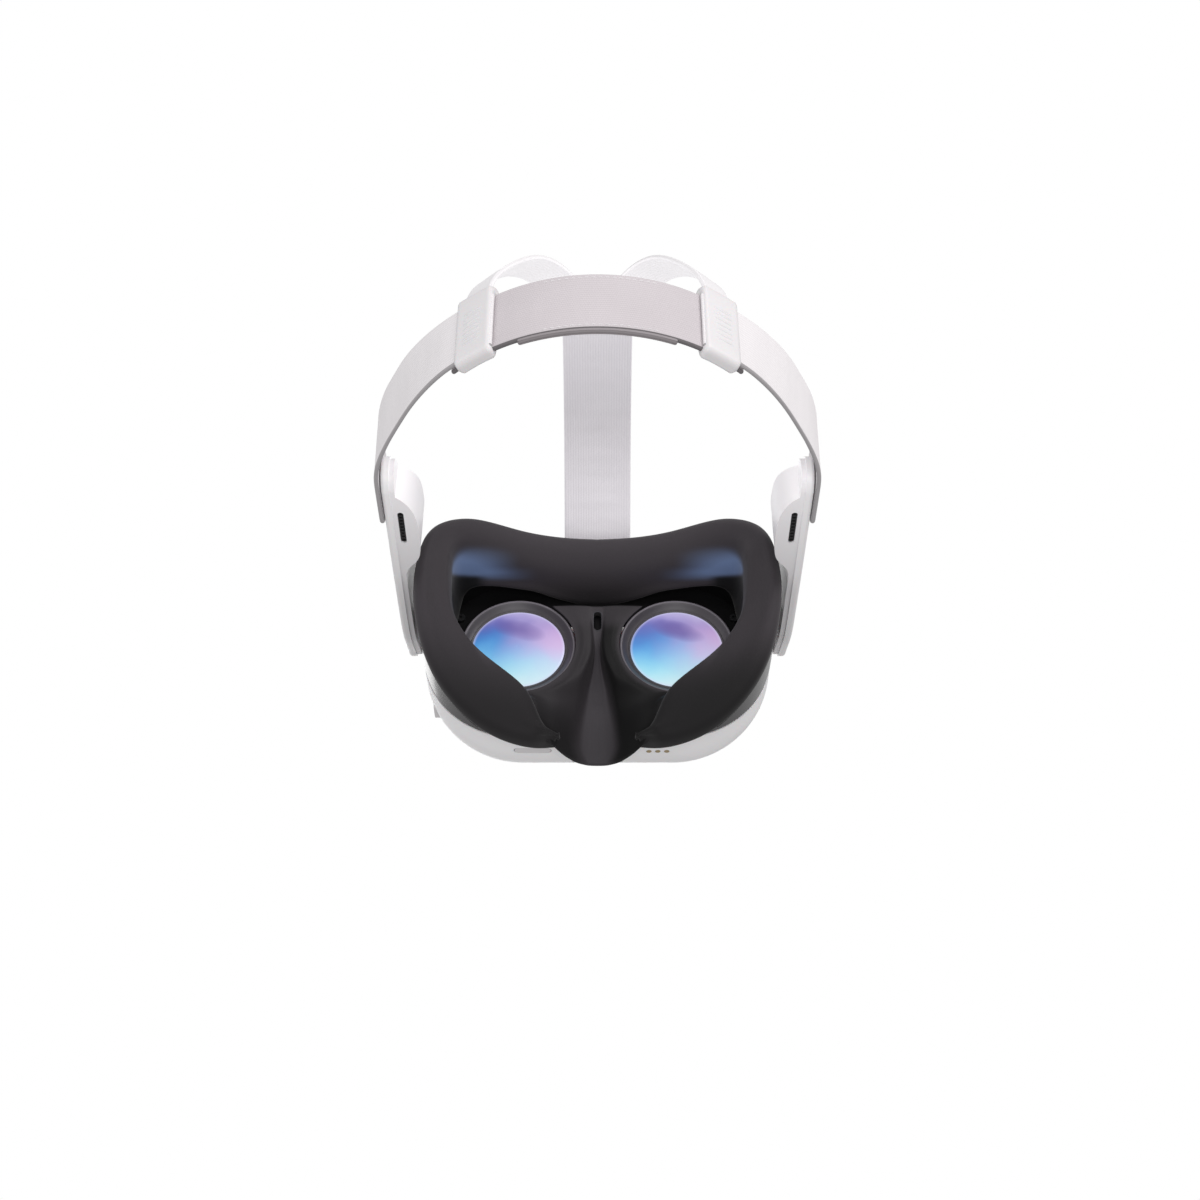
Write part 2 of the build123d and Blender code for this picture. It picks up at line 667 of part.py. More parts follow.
# ---- top strap bracket --------------------------------------------------------------
CHEEK_IN, CHEEK_T, CHEEK_R = 17.4, 3.2, 3.0
with BuildPart() as top_strap_bracket:
    with BuildSketch(Plane.XY.offset(VISOR_TOP)):
        rounded_at((0, BAR_Y), 42.0, 12.0, 2.5)
    extrude(amount=2.0)
    # cheeks that hold the bar
    for cheek_x in (-CHEEK_IN - CHEEK_T, CHEEK_IN):
        with BuildSketch(Plane.YZ.offset(cheek_x)):
            circle_at(CHEEK_R, BAR)
            with Locations((BAR_Y, (BAR_Z + VISOR_TOP) / 2)):
                Rectangle(2 * CHEEK_R, BAR_Z - VISOR_TOP)
        extrude(amount=CHEEK_T)
    with BuildSketch(Plane.YZ.offset(-20)):
        circle_at(1.6, BAR)
    extrude(amount=40)
    with BuildSketch(Plane.XY.offset(VISOR_TOP)):
        circle_at(BRACKET_SCREW_R, *BRACKET_SCREWS)
    extrude(amount=-2.3)
write(top_strap_bracket, "top_strap_bracket")

# ---- facial interface ---------------------------------------------------------------
# left half of the outer and inner outlines, from top centre round to the nose: x, z
FOAM_OUT = [
    (0, 50.6), (18, 50.8), (34, 51.2), (48, 51.6), (59.8, 49.0), (69.2, 42.9),
    (76.0, 33.4), (79.4, 20), (80.4, 6), (79.3, -8), (76, -22), (70, -34),
    (61, -43.2), (50, -49.0), (38, -51.6), (24, -51.9),
]
FOAM_IN = [
    (0, 36.6), (20, 36.6), (40, 36.4), (53, 35.2), (61, 31.5), (65.2, 24.5),
    (65.8, 13), (65.0, 2.5), (63.0, -6.0), (58.8, -13.0), (53.0, -18.6), (45.2, -23.0),
    (36.5, -27.4), (31.0, -31.5), (27.0, -38.0), (22.5, -46.0), (20.0, -51.9),
]
# left half of the face contact curve in plan: x, y
FACE = [(0, 20.0), (15, 21.0), (30, 24.0), (45, 29.3), (57, 35.2), (68, 40.5), (76, 44.2),
        (84, 46.6), (95, 48.5)]
# height z, and how far that curve shifts in y there
FACE_STEPS = [(60.0, 0.0), (20.0, 0.0), (0.0, -0.6), (-18.0, -4.2), (-34.0, -10.0),
              (-58.0, -21.0)]


def offset_outline(points, distance):
    """Half outline moved along its normals; positive is away from the face centre."""
    moved = []
    for i, (x, z) in enumerate(points):
        before = points[max(i - 1, 0)]
        after = points[min(i + 1, len(points) - 1)]
        run, rise = after[0] - before[0], after[1] - before[1]
        length = math.hypot(run, rise)
        if i == 0:
            moved.append((0.0, z + distance))
        else:
            moved.append((x - distance * rise / length, z + distance * run / length))
    return moved


def both_halves(points):
    """Full curve from its left half, which starts on the centre line."""
    return [(-x, v) for x, v in points[::-1]] + points[1:]


def face_prism(y0, y1, grow=0.0, trim=0):
    """Ring between the outlines of the facial interface, open at the nose.

    grow widens the ring on both edges; trim drops points at its nose ends.
    """
    outer = offset_outline(FOAM_OUT, grow)[:len(FOAM_OUT) - trim]
    inner = offset_outline(FOAM_IN, -grow)[:len(FOAM_IN) - 2 * trim]
    with BuildPart() as prism:
        with BuildSketch(xz(y1)):
            with BuildLine():
                loop_out = both_halves(outer)
                loop_in = both_halves(inner)
                Spline(*loop_out)
                Line(loop_out[-1], loop_in[-1])
                Spline(*loop_in)
                Line(loop_in[0], loop_out[0])
            make_face()
        extrude(amount=y1 - y0)
    return prism.part


def face_cutter(shift):
    """Solid on the wearer's side of the face contact surface."""
    with BuildPart() as cutter:
        for z, step in FACE_STEPS:
            with BuildSketch(Plane.XY.offset(z)):
                with BuildLine():
                    curve = both_halves([(x, y + step + shift) for x, y in FACE])
                    Spline(*curve)
                    Polyline(curve[-1], (95, 90), (-95, 90), curve[0])
                make_face()
        loft()
    return cutter.part


CUSHION_FRONT = 5.6
with BuildPart() as face_cushion:
    add(face_prism(CUSHION_FRONT, 62.0))
    add(face_cutter(0.0), mode=Mode.SUBTRACT)
    add(face_cutter(-11.0), mode=Mode.INTERSECT)
write(face_cushion, "face_cushion")

BUTTON_PLACE = (16.0, 8.0)
BUTTON_W, BUTTON_H, BUTTON_CORNER = 11.0, 15.0, 3.0
BUTTON_GAP = 0.2
with BuildPart() as interface_frame:
    # telescoping skirt that follows the visor outline
    with BuildSketch(xz(14.0)):
        visor_ring(0.3, 1.9)
    extrude(amount=21.6)
    # flared channel under the cushion
    add(face_prism(CUSHION_FRONT, 60.0, -1.0))
    add(face_cutter(-11.15), mode=Mode.SUBTRACT)
    # its hollow, which leaves the skirt whole
    with BuildPart(mode=Mode.PRIVATE) as hollow:
        add(face_prism(4.0, 60.0, -3.0, 1))
        add(face_cutter(-13.2), mode=Mode.SUBTRACT)
        with BuildSketch(xz(60.0)):
            visor_ring(0.2, 2.0)
        extrude(amount=80.0, mode=Mode.SUBTRACT)
    add(hollow.part, mode=Mode.SUBTRACT)
    add(notch_prism(21.0, -60.0, -31.0, 60.0), mode=Mode.SUBTRACT)
    # depth button openings
    for side in SIDES:
        with BuildSketch(Plane.YZ.offset(side * 60)):
            rounded_at(BUTTON_PLACE, BUTTON_W + 2 * BUTTON_GAP, BUTTON_H + 2 * BUTTON_GAP,
                       BUTTON_CORNER + BUTTON_GAP)
        extrude(amount=side * 10, mode=Mode.SUBTRACT)
write(interface_frame, "interface_frame")

BUTTON_X, BUTTON_DEPTH = 65.2, 4.6
with BuildPart() as depth_button:
    with BuildSketch(Plane.YZ.offset(BUTTON_X)):
        rounded_at(BUTTON_PLACE, BUTTON_W, BUTTON_H, BUTTON_CORNER)
    extrude(amount=BUTTON_DEPTH)
    fillet(depth_button.faces().sort_by(Axis.X)[0].edges(), 0.8)
    # flange on the outer end
    with BuildSketch(Plane.YZ.offset(BUTTON_X + BUTTON_DEPTH)):
        rounded_at(BUTTON_PLACE, BUTTON_W + 2.0, BUTTON_H + 2.0, BUTTON_CORNER)
    extrude(amount=1.0)
write_pair(depth_button, "depth_button")

# ---- nose flap ----------------------------------------------------------------------
# height z, then half width and y of the floor, the knee and the rim
NOSE = [
    (8.0, 2.2, -3.4, 3.0, 1.2, 8.2, 2.2),
    (0.0, 2.6, -5.4, 3.8, 1.6, 9.8, 2.4),
    (-10.0, 3.6, -8.0, 5.6, 2.0, 13.2, 3.0),
    (-20.0, 5.6, -11.0, 12.4, 1.6, 21.4, 4.4),
    (-26.0, 7.0, -13.3, 14.2, -0.4, 33.0, 11.8),
    (-30.0, 8.2, -14.8, 14.4, -2.6, 30.4, 11.8),
    (-40.0, 10.2, -18.6, 15.6, -6.0, 24.2, 6.4),
    (-50.0, 11.6, -22.4, 16.4, -9.6, 20.0, 1.6),
]
FLAP_T = 1.2
with BuildPart() as nose_flap:
    for z, floor_x, floor_y, knee_x, knee_y, rim_x, rim_y in NOSE:
        front_edge = [(rim_x, rim_y), (knee_x, knee_y), (floor_x, floor_y)]
        rear_edge = [(rim_x - FLAP_T, rim_y + 0.2), (knee_x - FLAP_T, knee_y + FLAP_T),
                     (floor_x - 0.8, floor_y + FLAP_T)]
        with BuildSketch(Plane.XY.offset(z)):
            with BuildLine():
                Polyline(*[(-x, y) for x, y in front_edge], *front_edge[::-1],
                         *rear_edge, *[(-x, y) for x, y in rear_edge[::-1]],
                         (-rim_x, rim_y))
            make_face()
    loft(ruled=True)
write(nose_flap, "nose_flap")


# ---- strap arms ---------------------------------------------------------------------
def arm_profile(inset):
    """Side view of a strap arm as a flat shape in Y and Z."""
    # upper edge runs back, lower edge runs forward: y, z
    top = [(y, z - inset) for y, z in
           ((48.0, 34.8), (70.0, 32.3), (88.0, 27.6), (99.0, 23.2))]
    bottom = [(y, z + inset) for y, z in
              ((99.0, 4.9), (60, 4.2), (20, 4.2), (2, 5.4), (-12, 9.6), (-23, 13.6))]
    top_front = (PIVOT_Y, PIVOT_Z + 12.0 - inset)
    with BuildSketch() as side_view:
        circle_at(12.0 - inset, PIVOT)
        with BuildLine():
            Line(top_front, top[0])
            Spline(*top)
            ThreePointArc(top[-1], (107.6 - inset, 14.2), bottom[0])
            Spline(*bottom)
            Line(bottom[-1], top_front)
        make_face()
    return side_view.sketch


with BuildPart() as arm_shell:
    with BuildSketch(Plane.YZ.offset(POD_X)):
        add(arm_profile(0.0))
    extrude(amount=ARM_OUT - POD_X)
    fillet(arm_shell.faces().sort_by(Axis.X)[-1].edges(), 1.5)
    # recess for the pivot pin head
    with BuildSketch(Plane.YZ.offset(POD_X)):
        circle_at(4.6, PIVOT)
    extrude(amount=1.6, mode=Mode.SUBTRACT)
write_pair(arm_shell, "arm_shell")

POD_IN = 70              # plane from which the pod is extruded outwards
# inner surface of the pod in plan, bulging towards the head: x, y
POD_BULGE = [(ARM_IN, 46.0), (80.9, 51.6), (77.0, 57.0), (75.4, 64.0), (75.2, 74.0),
             (76.0, 84.0), (79.0, 91.5), (83.2, 96.0)]
SOUND_SLOT, SOUND_SLOT_LENGTH, SOUND_SLOT_W = (82.0, 77.2), 19.0, 2.6
with BuildPart() as arm_pod:
    with BuildSketch(Plane.YZ.offset(POD_IN)):
        add(arm_profile(0.9))
    extrude(amount=POD_X - POD_IN)
    with BuildSketch(Plane.XY.offset(-10)):
        with BuildLine():
            Spline(*POD_BULGE)
            Polyline(POD_BULGE[-1], (83.2, 130), (50, 130), (50, -60), (ARM_IN, -60),
                     POD_BULGE[0])
        make_face()
    extrude(amount=80, mode=Mode.SUBTRACT)
    # speaker chamber and its sound slot in the underside
    with BuildSketch(Plane.YZ.offset(78.2)):
        rounded_at((73.5, 17.6), 27.0, 16.0, 3.0)
    extrude(amount=10, mode=Mode.SUBTRACT)
    with BuildSketch(Plane.XY.offset(0)):
        slot_at(SOUND_SLOT, SOUND_SLOT_LENGTH, SOUND_SLOT_W, 90)
    extrude(amount=14, mode=Mode.SUBTRACT)
    # pivot pin bore
    with BuildSketch(Plane.YZ.offset(POD_IN)):
        circle_at(3.94, PIVOT)
    extrude(amount=20, mode=Mode.SUBTRACT)
write_pair(arm_pod, "arm_pod")

with BuildPart() as speaker_grille:
    with BuildSketch(Plane.XY.offset(6.0)):
        slot_at(SOUND_SLOT, SOUND_SLOT_LENGTH - 0.2, SOUND_SLOT_W - 0.2, 90)
    extrude(amount=1.6)
    # nine openings along the grille
    with BuildSketch(Plane.XY.offset(5.0)):
        with Locations(*[(SOUND_SLOT[0], SOUND_SLOT[1] + 2.0 * k) for k in range(-4, 5)]):
            Rectangle(1.4, 0.9)
    extrude(amount=4, mode=Mode.SUBTRACT)
write_pair(speaker_grille, "speaker_grille")

SPEAKER_PLACE, SPEAKER_X = (73.5, 18.0), 79.4
with BuildPart() as speaker:
    with BuildSketch(Plane.YZ.offset(SPEAKER_X)):
        rounded_at(SPEAKER_PLACE, 24.0, 13.0, 2.5)
    extrude(amount=5.2)
    # raised oval ring on the inner face
    with BuildSketch(Plane.YZ.offset(SPEAKER_X)):
        with Locations(SPEAKER_PLACE):
            Ellipse(9.5, 4.8)
            Ellipse(8.0, 3.4, mode=Mode.SUBTRACT)
    extrude(amount=-0.7)
write_pair(speaker, "speaker")

PIN_IN = 62.8            # inner end of the pivot pin
with BuildPart() as pivot_pin:
    # inner flange, shank and outer head
    with BuildSketch(Plane.YZ.offset(PIN_IN)):
        circle_at(5.4, PIVOT)
    extrude(amount=1.6)
    with BuildSketch(Plane.YZ.offset(PIN_IN)):
        circle_at(3.93, PIVOT)
    extrude(amount=POD_X + 0.2 - PIN_IN)
    with BuildSketch(Plane.YZ.offset(POD_X)):
        circle_at(4.5, PIVOT)
    extrude(amount=1.4)
write_pair(pivot_pin, "pivot_pin")


# ---- fabric straps ------------------------------------------------------------------
def smooth(points, per=3):
    """Catmull-Rom curve through the points, with per steps to each span."""
    out = []
    last = len(points) - 1
    for i in range(last):
        spans = zip(points[max(i - 1, 0)], points[i], points[i + 1], points[min(i + 2, last)])
        spans = list(spans)
        for k in range(per):
            t = k / per
            out.append(tuple(
                0.5 * (2 * b + (c - a) * t + (2 * a - 5 * b + 4 * c - d) * t * t
                       + (3 * b - a - 3 * c + d) * t ** 3)
                for a, b, c, d in spans))
    return out + [points[-1]]


def ribbon(points, half):
    """Flat strip of constant thickness about a planar curve."""
    dense = smooth(points)
    left, right = [], []
    for i, (u, v) in enumerate(dense):
        before, after = dense[max(i - 1, 0)], dense[min(i + 1, len(dense) - 1)]
        run, rise = after[0] - before[0], after[1] - before[1]
        length = math.hypot(run, rise)
        left.append((u - rise / length * half, v + run / length * half))
        right.append((u + rise / length * half, v - run / length * half))
    with BuildSketch() as strip:
        with BuildLine():
            Spline(*left)
            Line(left[-1], right[-1])
            Spline(*right[::-1])
            Line(right[0], left[0])
        make_face()
    return strip.sketch


def on_arc(radius, degrees):
    """Plan point about the rear arc centre, at an angle from straight back towards +X."""
    angle = math.radians(degrees)
    return (radius * math.sin(angle), HEAD_Y + radius * math.cos(angle))


def arc_wall(r0, r1, a0, a1, z0, z1):
    """Wall of constant thickness on the rear arc, between two angles from straight back."""
    middle = (a0 + a1) / 2
    with BuildPart() as wall:
        with BuildSketch(Plane.XY.offset(z0)):
            with BuildLine():
                ThreePointArc(on_arc(r1, a0), on_arc(r1, middle), on_arc(r1, a1))
                Line(on_arc(r1, a1), on_arc(r0, a1))
                ThreePointArc(on_arc(r0, a1), on_arc(r0, middle), on_arc(r0, a0))
                Line(on_arc(r0, a0), on_arc(r1, a0))
            make_face()
        extrude(amount=z1 - z0)
    return wall


# centre line of the left strap in plan, from the rear arc forward to the arm: x, y
SIDE_STRAP_PATH = [on_arc(79.7, degrees) for degrees in (30, 33, 36, 39, 42)] + [
    on_arc(79.8, 45), (62.2, 162.0), (69.6, 151.4), (76.4, 139.4), (82.8, 127.0),
    (87.5, 116.5), (89.6, 108.5), (90.0, 100.0), (90.0, 90.0), (90.0, 78.0),
]
with BuildPart() as side_strap:
    with BuildSketch(Plane.XY.offset(BAND_Z0 + 0.8)):
        add(ribbon(SIDE_STRAP_PATH, BAND_T / 2 - 0.2))
    extrude(amount=BAND_Z1 - BAND_Z0 - 1.6)
write_pair(side_strap, "side_strap")

write(arc_wall(76.9, 78.7, -44.0, 44.0, BAND_Z0, BAND_Z1), "rear_band")
write(arc_wall(76.7, 78.9, -25.3, 25.3, BAND_Z0 - 0.9, BAND_Z0 - 0.1), "rear_band_edge")
write(arc_wall(73.9, 76.75, -24.0, 24.0, BAND_Z0 + 2.0, BAND_Z1 - 2.0), "rear_pad")

# sleeve round the rear band and the side strap
with BuildPart() as strap_slider:
    add(arc_wall(75.2, 82.0, 29.8, 41.4, 0.8, 39.0).part)
    fillet(strap_slider.edges().filter_by(Axis.Z), 1.2)
    add(arc_wall(76.6, 80.8, 24.0, 48.0, BAND_Z0 - 0.4, BAND_Z1 + 0.4).part, mode=Mode.SUBTRACT)
write_pair(strap_slider, "strap_slider")

# centre line of the top strap from the bracket bar back over the head: y, z
TOP_STRAP_PATH = [
    (BAR_Y - 0.2, BAR_Z + 3.3), (-6.0, 64.2), (9.0, 80.0), (26.0, 93.6), (45.0, 103.0),
    (63.0, 108.2), (80.0, 110.2), (92.0, 109.6), (103.8, 107.0),
]
TOP_STRAP_PLANE = Plane.YZ.offset(-TOP_STRAP_W / 2)
with BuildPart() as top_strap:
    with BuildSketch(TOP_STRAP_PLANE):
        add(ribbon(TOP_STRAP_PATH, 1.0))
    extrude(amount=TOP_STRAP_W)
    # loop round the bar
    with BuildSketch(TOP_STRAP_PLANE):
        circle_at(3.6, BAR)
    extrude(amount=TOP_STRAP_W)
    with BuildSketch(TOP_STRAP_PLANE):
        circle_at(1.9, BAR)
    extrude(amount=TOP_STRAP_W, mode=Mode.SUBTRACT)
write(top_strap, "top_strap")

# ellipsoid of the head, whose normals set the tilt of the fork legs
HEAD_MID, HEAD_AXES = (0.0, 96.0, 15.0), (78.0, 96.0, 93.0)
# stations of the left leg from the top strap down to the rear band: x, y, z
LEG = [(8.4, 107.4, 106.2), (18.5, 130.0, 99.6), (29.3, 151.5, 83.6), (38.6, 166.2, 62.5),
       (45.3, 174.8, 40.4)]
LEG_WIDTHS = [15.6, 16.0, 15.6, 15.0, 14.4]
LEG_T = 1.8
with BuildPart() as fork_leg:
    for i, point in enumerate(LEG):
        before, after = LEG[max(i - 1, 0)], LEG[min(i + 1, len(LEG) - 1)]
        tangent = Vector(*[q - r for q, r in zip(after, before)]).normalized()
        outward = Vector(*[(q - mid) / (axis * axis)
                           for q, mid, axis in zip(point, HEAD_MID, HEAD_AXES)]).normalized()
        across = tangent.cross(outward).normalized()
        with BuildSketch(Plane(origin=point, x_dir=across, z_dir=tangent)):
            Rectangle(LEG_WIDTHS[i], LEG_T)
    loft()
write_pair(fork_leg, "fork_leg")
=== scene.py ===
# A head-worn display: a visor with two eye lenses, a face cushion with a nose flap, side arms,
# and a fabric head strap. The hard parts come from CAD; the soft parts are built here.
#
# Pieces are laid out in design millimetres and moved to row metres by to_row().
# Both frames: +X is the wearer's left, +Y runs from the visor to the back of the head, +Z is up.
# The design origin lies midway between the eye lenses.
import bpy
import bmesh
import math
import numpy as np
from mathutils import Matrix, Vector


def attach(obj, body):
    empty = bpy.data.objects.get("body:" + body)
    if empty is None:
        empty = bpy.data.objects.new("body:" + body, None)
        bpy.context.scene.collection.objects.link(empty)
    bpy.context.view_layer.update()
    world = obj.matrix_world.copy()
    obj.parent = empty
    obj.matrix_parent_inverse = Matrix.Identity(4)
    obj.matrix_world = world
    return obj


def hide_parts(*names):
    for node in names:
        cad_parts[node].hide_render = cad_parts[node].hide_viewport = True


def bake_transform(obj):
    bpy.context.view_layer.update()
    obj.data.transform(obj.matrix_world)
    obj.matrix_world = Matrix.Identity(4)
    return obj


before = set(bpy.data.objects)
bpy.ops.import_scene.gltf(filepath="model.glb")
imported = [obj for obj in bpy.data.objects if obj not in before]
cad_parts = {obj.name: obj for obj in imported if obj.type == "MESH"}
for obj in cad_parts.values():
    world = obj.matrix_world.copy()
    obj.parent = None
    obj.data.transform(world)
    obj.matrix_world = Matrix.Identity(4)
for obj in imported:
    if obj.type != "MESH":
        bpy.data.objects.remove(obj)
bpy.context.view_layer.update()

scene = bpy.context.scene

DESIGN_OFFSET = (0.0, -67.45, 52.0413)   # the design origin in the row frame, mm
SIDES = ((1, "left"), (-1, "right"))     # sign of X, label
LENS_X = 36.0                            # lens axis from the middle, mm
LENS_RADIUS = 21.2
HEAD_Y = 112.0                           # upright axis that the rear straps curve round, mm
STRAP_Z = 19.0                           # mid height of the side straps and the rear band, mm


def to_row(points):
    """Design millimetres to row metres, for one point or an array of points."""
    return (np.asarray(points, float) + np.array(DESIGN_OFFSET)) / 1000.0


# ------------------------------------------------------------------ curves
def join(*columns):
    """Numbers or arrays, broadcast together, as the columns of one array."""
    return np.stack(np.broadcast_arrays(*columns), -1)


def unit(vectors):
    return vectors / np.maximum(np.linalg.norm(vectors, axis=-1, keepdims=True), 1e-12)


def tangents(path):
    return unit(np.gradient(path, axis=0))


def smoothstep(start, end, x):
    """0 at start and 1 at end; start may be the larger."""
    t = np.clip((np.asarray(x, float) - start) / (end - start), 0, 1)
    return t * t * (3 - 2 * t)


def arc_lengths(path):
    """Distance run along a path at each of its points."""
    return np.concatenate([[0], np.cumsum(np.linalg.norm(np.diff(path, axis=0), axis=1))])


def interp_rows(at, knots, rows):
    """Every column of rows, interpolated at the given places among the knots."""
    return np.stack([np.interp(at, knots, column) for column in rows.T], -1)


def eased(at, table, passes):
    """Columns 1 on of a table, interpolated over its column 0 and smoothed."""
    table = np.array(table, float)
    values = interp_rows(at, table[:, 0], table[:, 1:])
    for _ in range(passes):
        values[1:-1] = (values[:-2] + 2 * values[1:-1] + values[2:]) / 4
    return values.squeeze()


def spline(points, count):
    """Points evenly spaced by length on a natural cubic through the given points."""
    knots = np.asarray(points, float)
    at_knot = arc_lengths(knots)
    last = len(knots) - 1
    gap = np.diff(at_knot)
    matrix = np.zeros((last + 1, last + 1))
    matrix[0, 0] = matrix[-1, -1] = 1
    right_side = np.zeros_like(knots)
    for i in range(1, last):
        matrix[i, i - 1:i + 2] = gap[i - 1], 2 * (gap[i - 1] + gap[i]), gap[i]
        right_side[i] = 6 * ((knots[i + 1] - knots[i]) / gap[i]
                             - (knots[i] - knots[i - 1]) / gap[i - 1])
    bend = np.linalg.solve(matrix, right_side)

    x = np.linspace(0, at_knot[-1], max(400, count * 8))
    i = np.clip(np.searchsorted(at_knot, x, side="right") - 1, 0, last - 1)
    before = ((at_knot[i + 1] - x) / gap[i])[:, None]
    after = ((x - at_knot[i]) / gap[i])[:, None]
    cubic = (before ** 3 - before) * bend[i] + (after ** 3 - after) * bend[i + 1]
    fine = before * knots[i] + after * knots[i + 1] + cubic * (gap[i][:, None] ** 2) / 6
    run = arc_lengths(fine)
    return interp_rows(np.linspace(0, run[-1], count), run, fine)


def catmull(points, u):
    """Point at parameter u (0..len-1) of a Catmull-Rom curve through an array of points."""
    k = min(int(u), len(points) - 2)
    t = u - k
    a, b = points[k], points[k + 1]
    before = points[k - 1] if k > 0 else 2 * a - b
    after = points[k + 2] if k + 2 < len(points) else 2 * b - a
    return 0.5 * (2 * a + (b - before) * t + (2 * before - 5 * a + 4 * b - after) * t * t
                  + (3 * a - before - 3 * b + after) * t ** 3)


def around_head(radius, angle, z):
    """Points round the head axis; angle 0 is at the rear and grows towards the left."""
    return join(radius * np.sin(angle), HEAD_Y + radius * np.cos(angle), z)


def from_head(angle):
    """Level directions away from the head axis."""
    return join(np.sin(angle), np.cos(angle), 0.0)


def stadium(radius, straight, count):
    """(x, z) outline of a half circle above and one below, each shifted by straight."""
    outline = []
    for t in np.linspace(0, 2 * math.pi, count, endpoint=False):
        shift = straight if math.sin(t) >= 0 else -straight
        outline.append((radius * math.cos(t), radius * math.sin(t) + shift))
    return np.array(outline)


# ------------------------------------------------------------------ meshes
def new_object(name, verts, faces, material, body, uv=None):
    """A smooth mesh object; verts in row metres, uv a pair per face corner (zeros if None)."""
    mesh = bpy.data.meshes.new(name)
    mesh.from_pydata([tuple(v) for v in verts], [], faces)
    if uv is None:
        uv = np.zeros((len(mesh.loops), 2))
    layer = mesh.uv_layers.new(name="UVMap")
    layer.data.foreach_set("uv", np.asarray(uv, np.float32).ravel())
    mesh.materials.append(materials[material])
    mesh.polygons.foreach_set("use_smooth", [True] * len(mesh.polygons))
    mesh.update()
    ob = bpy.data.objects.new(name, mesh)
    scene.collection.objects.link(ob)
    bm = bmesh.new()
    bm.from_mesh(mesh)
    bmesh.ops.recalc_face_normals(bm, faces=bm.faces)
    bm.to_mesh(mesh)
    bm.free()
    if body:
        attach(ob, body)
    return ob


def grid(points, close_u=False, close_v=False, cap=False):
    """Quads over an array (rows, columns, 3): verts, faces and uv, with uv as lengths.

    close_u joins the last row to the first, close_v the last column to the first;
    cap closes the first and last rows of a tube with fans."""
    rows, columns = points.shape[:2]
    verts = list(points.reshape(-1, 3))
    faces, uv = [], []
    along = [0, *np.cumsum(np.linalg.norm(np.diff(points, axis=0), axis=2).mean(1))]
    along.append(along[-1] + (along[-1] - along[-2]))
    ring = np.concatenate([points, points[:, :1]], 1)
    across = [0, *np.cumsum(np.linalg.norm(np.diff(ring, axis=1), axis=2).mean(0))]
    for i in range(rows if close_u else rows - 1):
        this, after = i * columns, (i + 1) % rows * columns
        for j in range(columns if close_v else columns - 1):
            k = (j + 1) % columns
            faces.append((this + j, after + j, after + k, this + k))
            uv += [(along[i], across[j]), (along[i + 1], across[j]),
                   (along[i + 1], across[j + 1]), (along[i], across[j + 1])]
    if cap:
        for row in (0, rows - 1):
            centre = len(verts)
            verts.append(points[row].mean(0))
            for j in range(columns):
                faces.append((row * columns + j, row * columns + (j + 1) % columns, centre))
                uv += [(along[row], across[j]), (along[row], across[j + 1]),
                       (along[row], (across[j] + across[j + 1]) / 2)]
    return verts, faces, uv


def strap_section(width, thick, crown, lip):
    """Closed strap section as (across, out): round edges, crowned face, thicker selvedges."""
    half_w, half_t = width / 2, thick / 2
    edge = half_t * 0.96
    flat = np.linspace(-(half_w - edge), half_w - edge, 18)
    outline = []
    for side, start in ((1, 90), (-1, 270)):
        outline += [(side * x, side * half_t) for x in flat]
        for angle in np.radians(np.linspace(start, start - 180, 8)[1:-1]):
            outline.append((side * (half_w - edge) + edge * math.cos(angle),
                            half_t * math.sin(angle)))
    section = np.array(outline)
    rel = np.abs(section[:, 0]) / half_w
    section[:, 1] *= (1 + lip * smoothstep(0.80, 0.88, rel)
                      * (1 - 0.4 * smoothstep(0.93, 1.0, rel)))
    section[:, 1] += crown * (1 - rel ** 2)
    return section


def strap_tip(row, across, outward):
    """Three shrinking copies of an end section that round off the end of a strap."""
    middle = row.mean(0)
    offset = row - middle
    wide = (offset @ across)[:, None] * across
    deep = offset - wide
    return [middle + wide * (1 - (1 - shrink) * 0.06) + deep * shrink + outward * reach
            for reach, shrink in ((0.35, 0.93), (0.62, 0.72), (0.78, 0.36))]


def strap(name, centre, normal, width, thick, material, body=None,
          crown=0.0, lip=0.1, wave=0.0, end_round=0.0):
    """Strap along centre (design mm), facing normal.

    wave is the height of slow ripples; end_round is the corner radius at the last end."""
    tangent = tangents(centre)
    across = unit(np.cross(tangent, normal))
    out = unit(np.cross(across, tangent))
    widths = np.broadcast_to(width, (len(centre),))
    run = arc_lengths(centre)
    rows = []
    for i, w in enumerate(widths):
        left = run[-1] - run[i]
        if left < end_round:
            chord = math.sqrt(max(end_round ** 2 - (end_round - left) ** 2, 0.0))
            w = w - 2 * (end_round - chord)
        section = strap_section(w, thick, crown, lip)
        ripple = wave * (math.sin(run[i] * 0.31) + 0.6 * math.sin(run[i] * 0.83 + 1.3))
        bump = ripple * np.cos(section[:, 0] / max(w, 1) * math.pi)
        rows.append(centre[i] + section[:, :1] * across[i]
                    + (section[:, 1:2] + bump[:, None]) * out[i])
    head = strap_tip(rows[0], across[0], -tangent[0])[::-1]
    tail = strap_tip(rows[-1], across[-1], tangent[-1])
    verts, faces, uv = grid(to_row(head + rows + tail), close_v=True, cap=True)
    return new_object(name, verts, faces, material, body, uv)


def lathe(name, profile, centre_x, material, body):
    """Profile of (radius, y) turned about the line along Y at centre_x."""
    radius, y = np.array(profile).T[:, :, None]
    turn = np.linspace(0, 2 * math.pi, 128, endpoint=False)
    points = join(centre_x + radius * np.cos(turn), y, -radius * np.sin(turn))
    verts, faces, uv = grid(to_row(points), close_v=True)
    return new_object(name, verts, faces, material, body, uv)


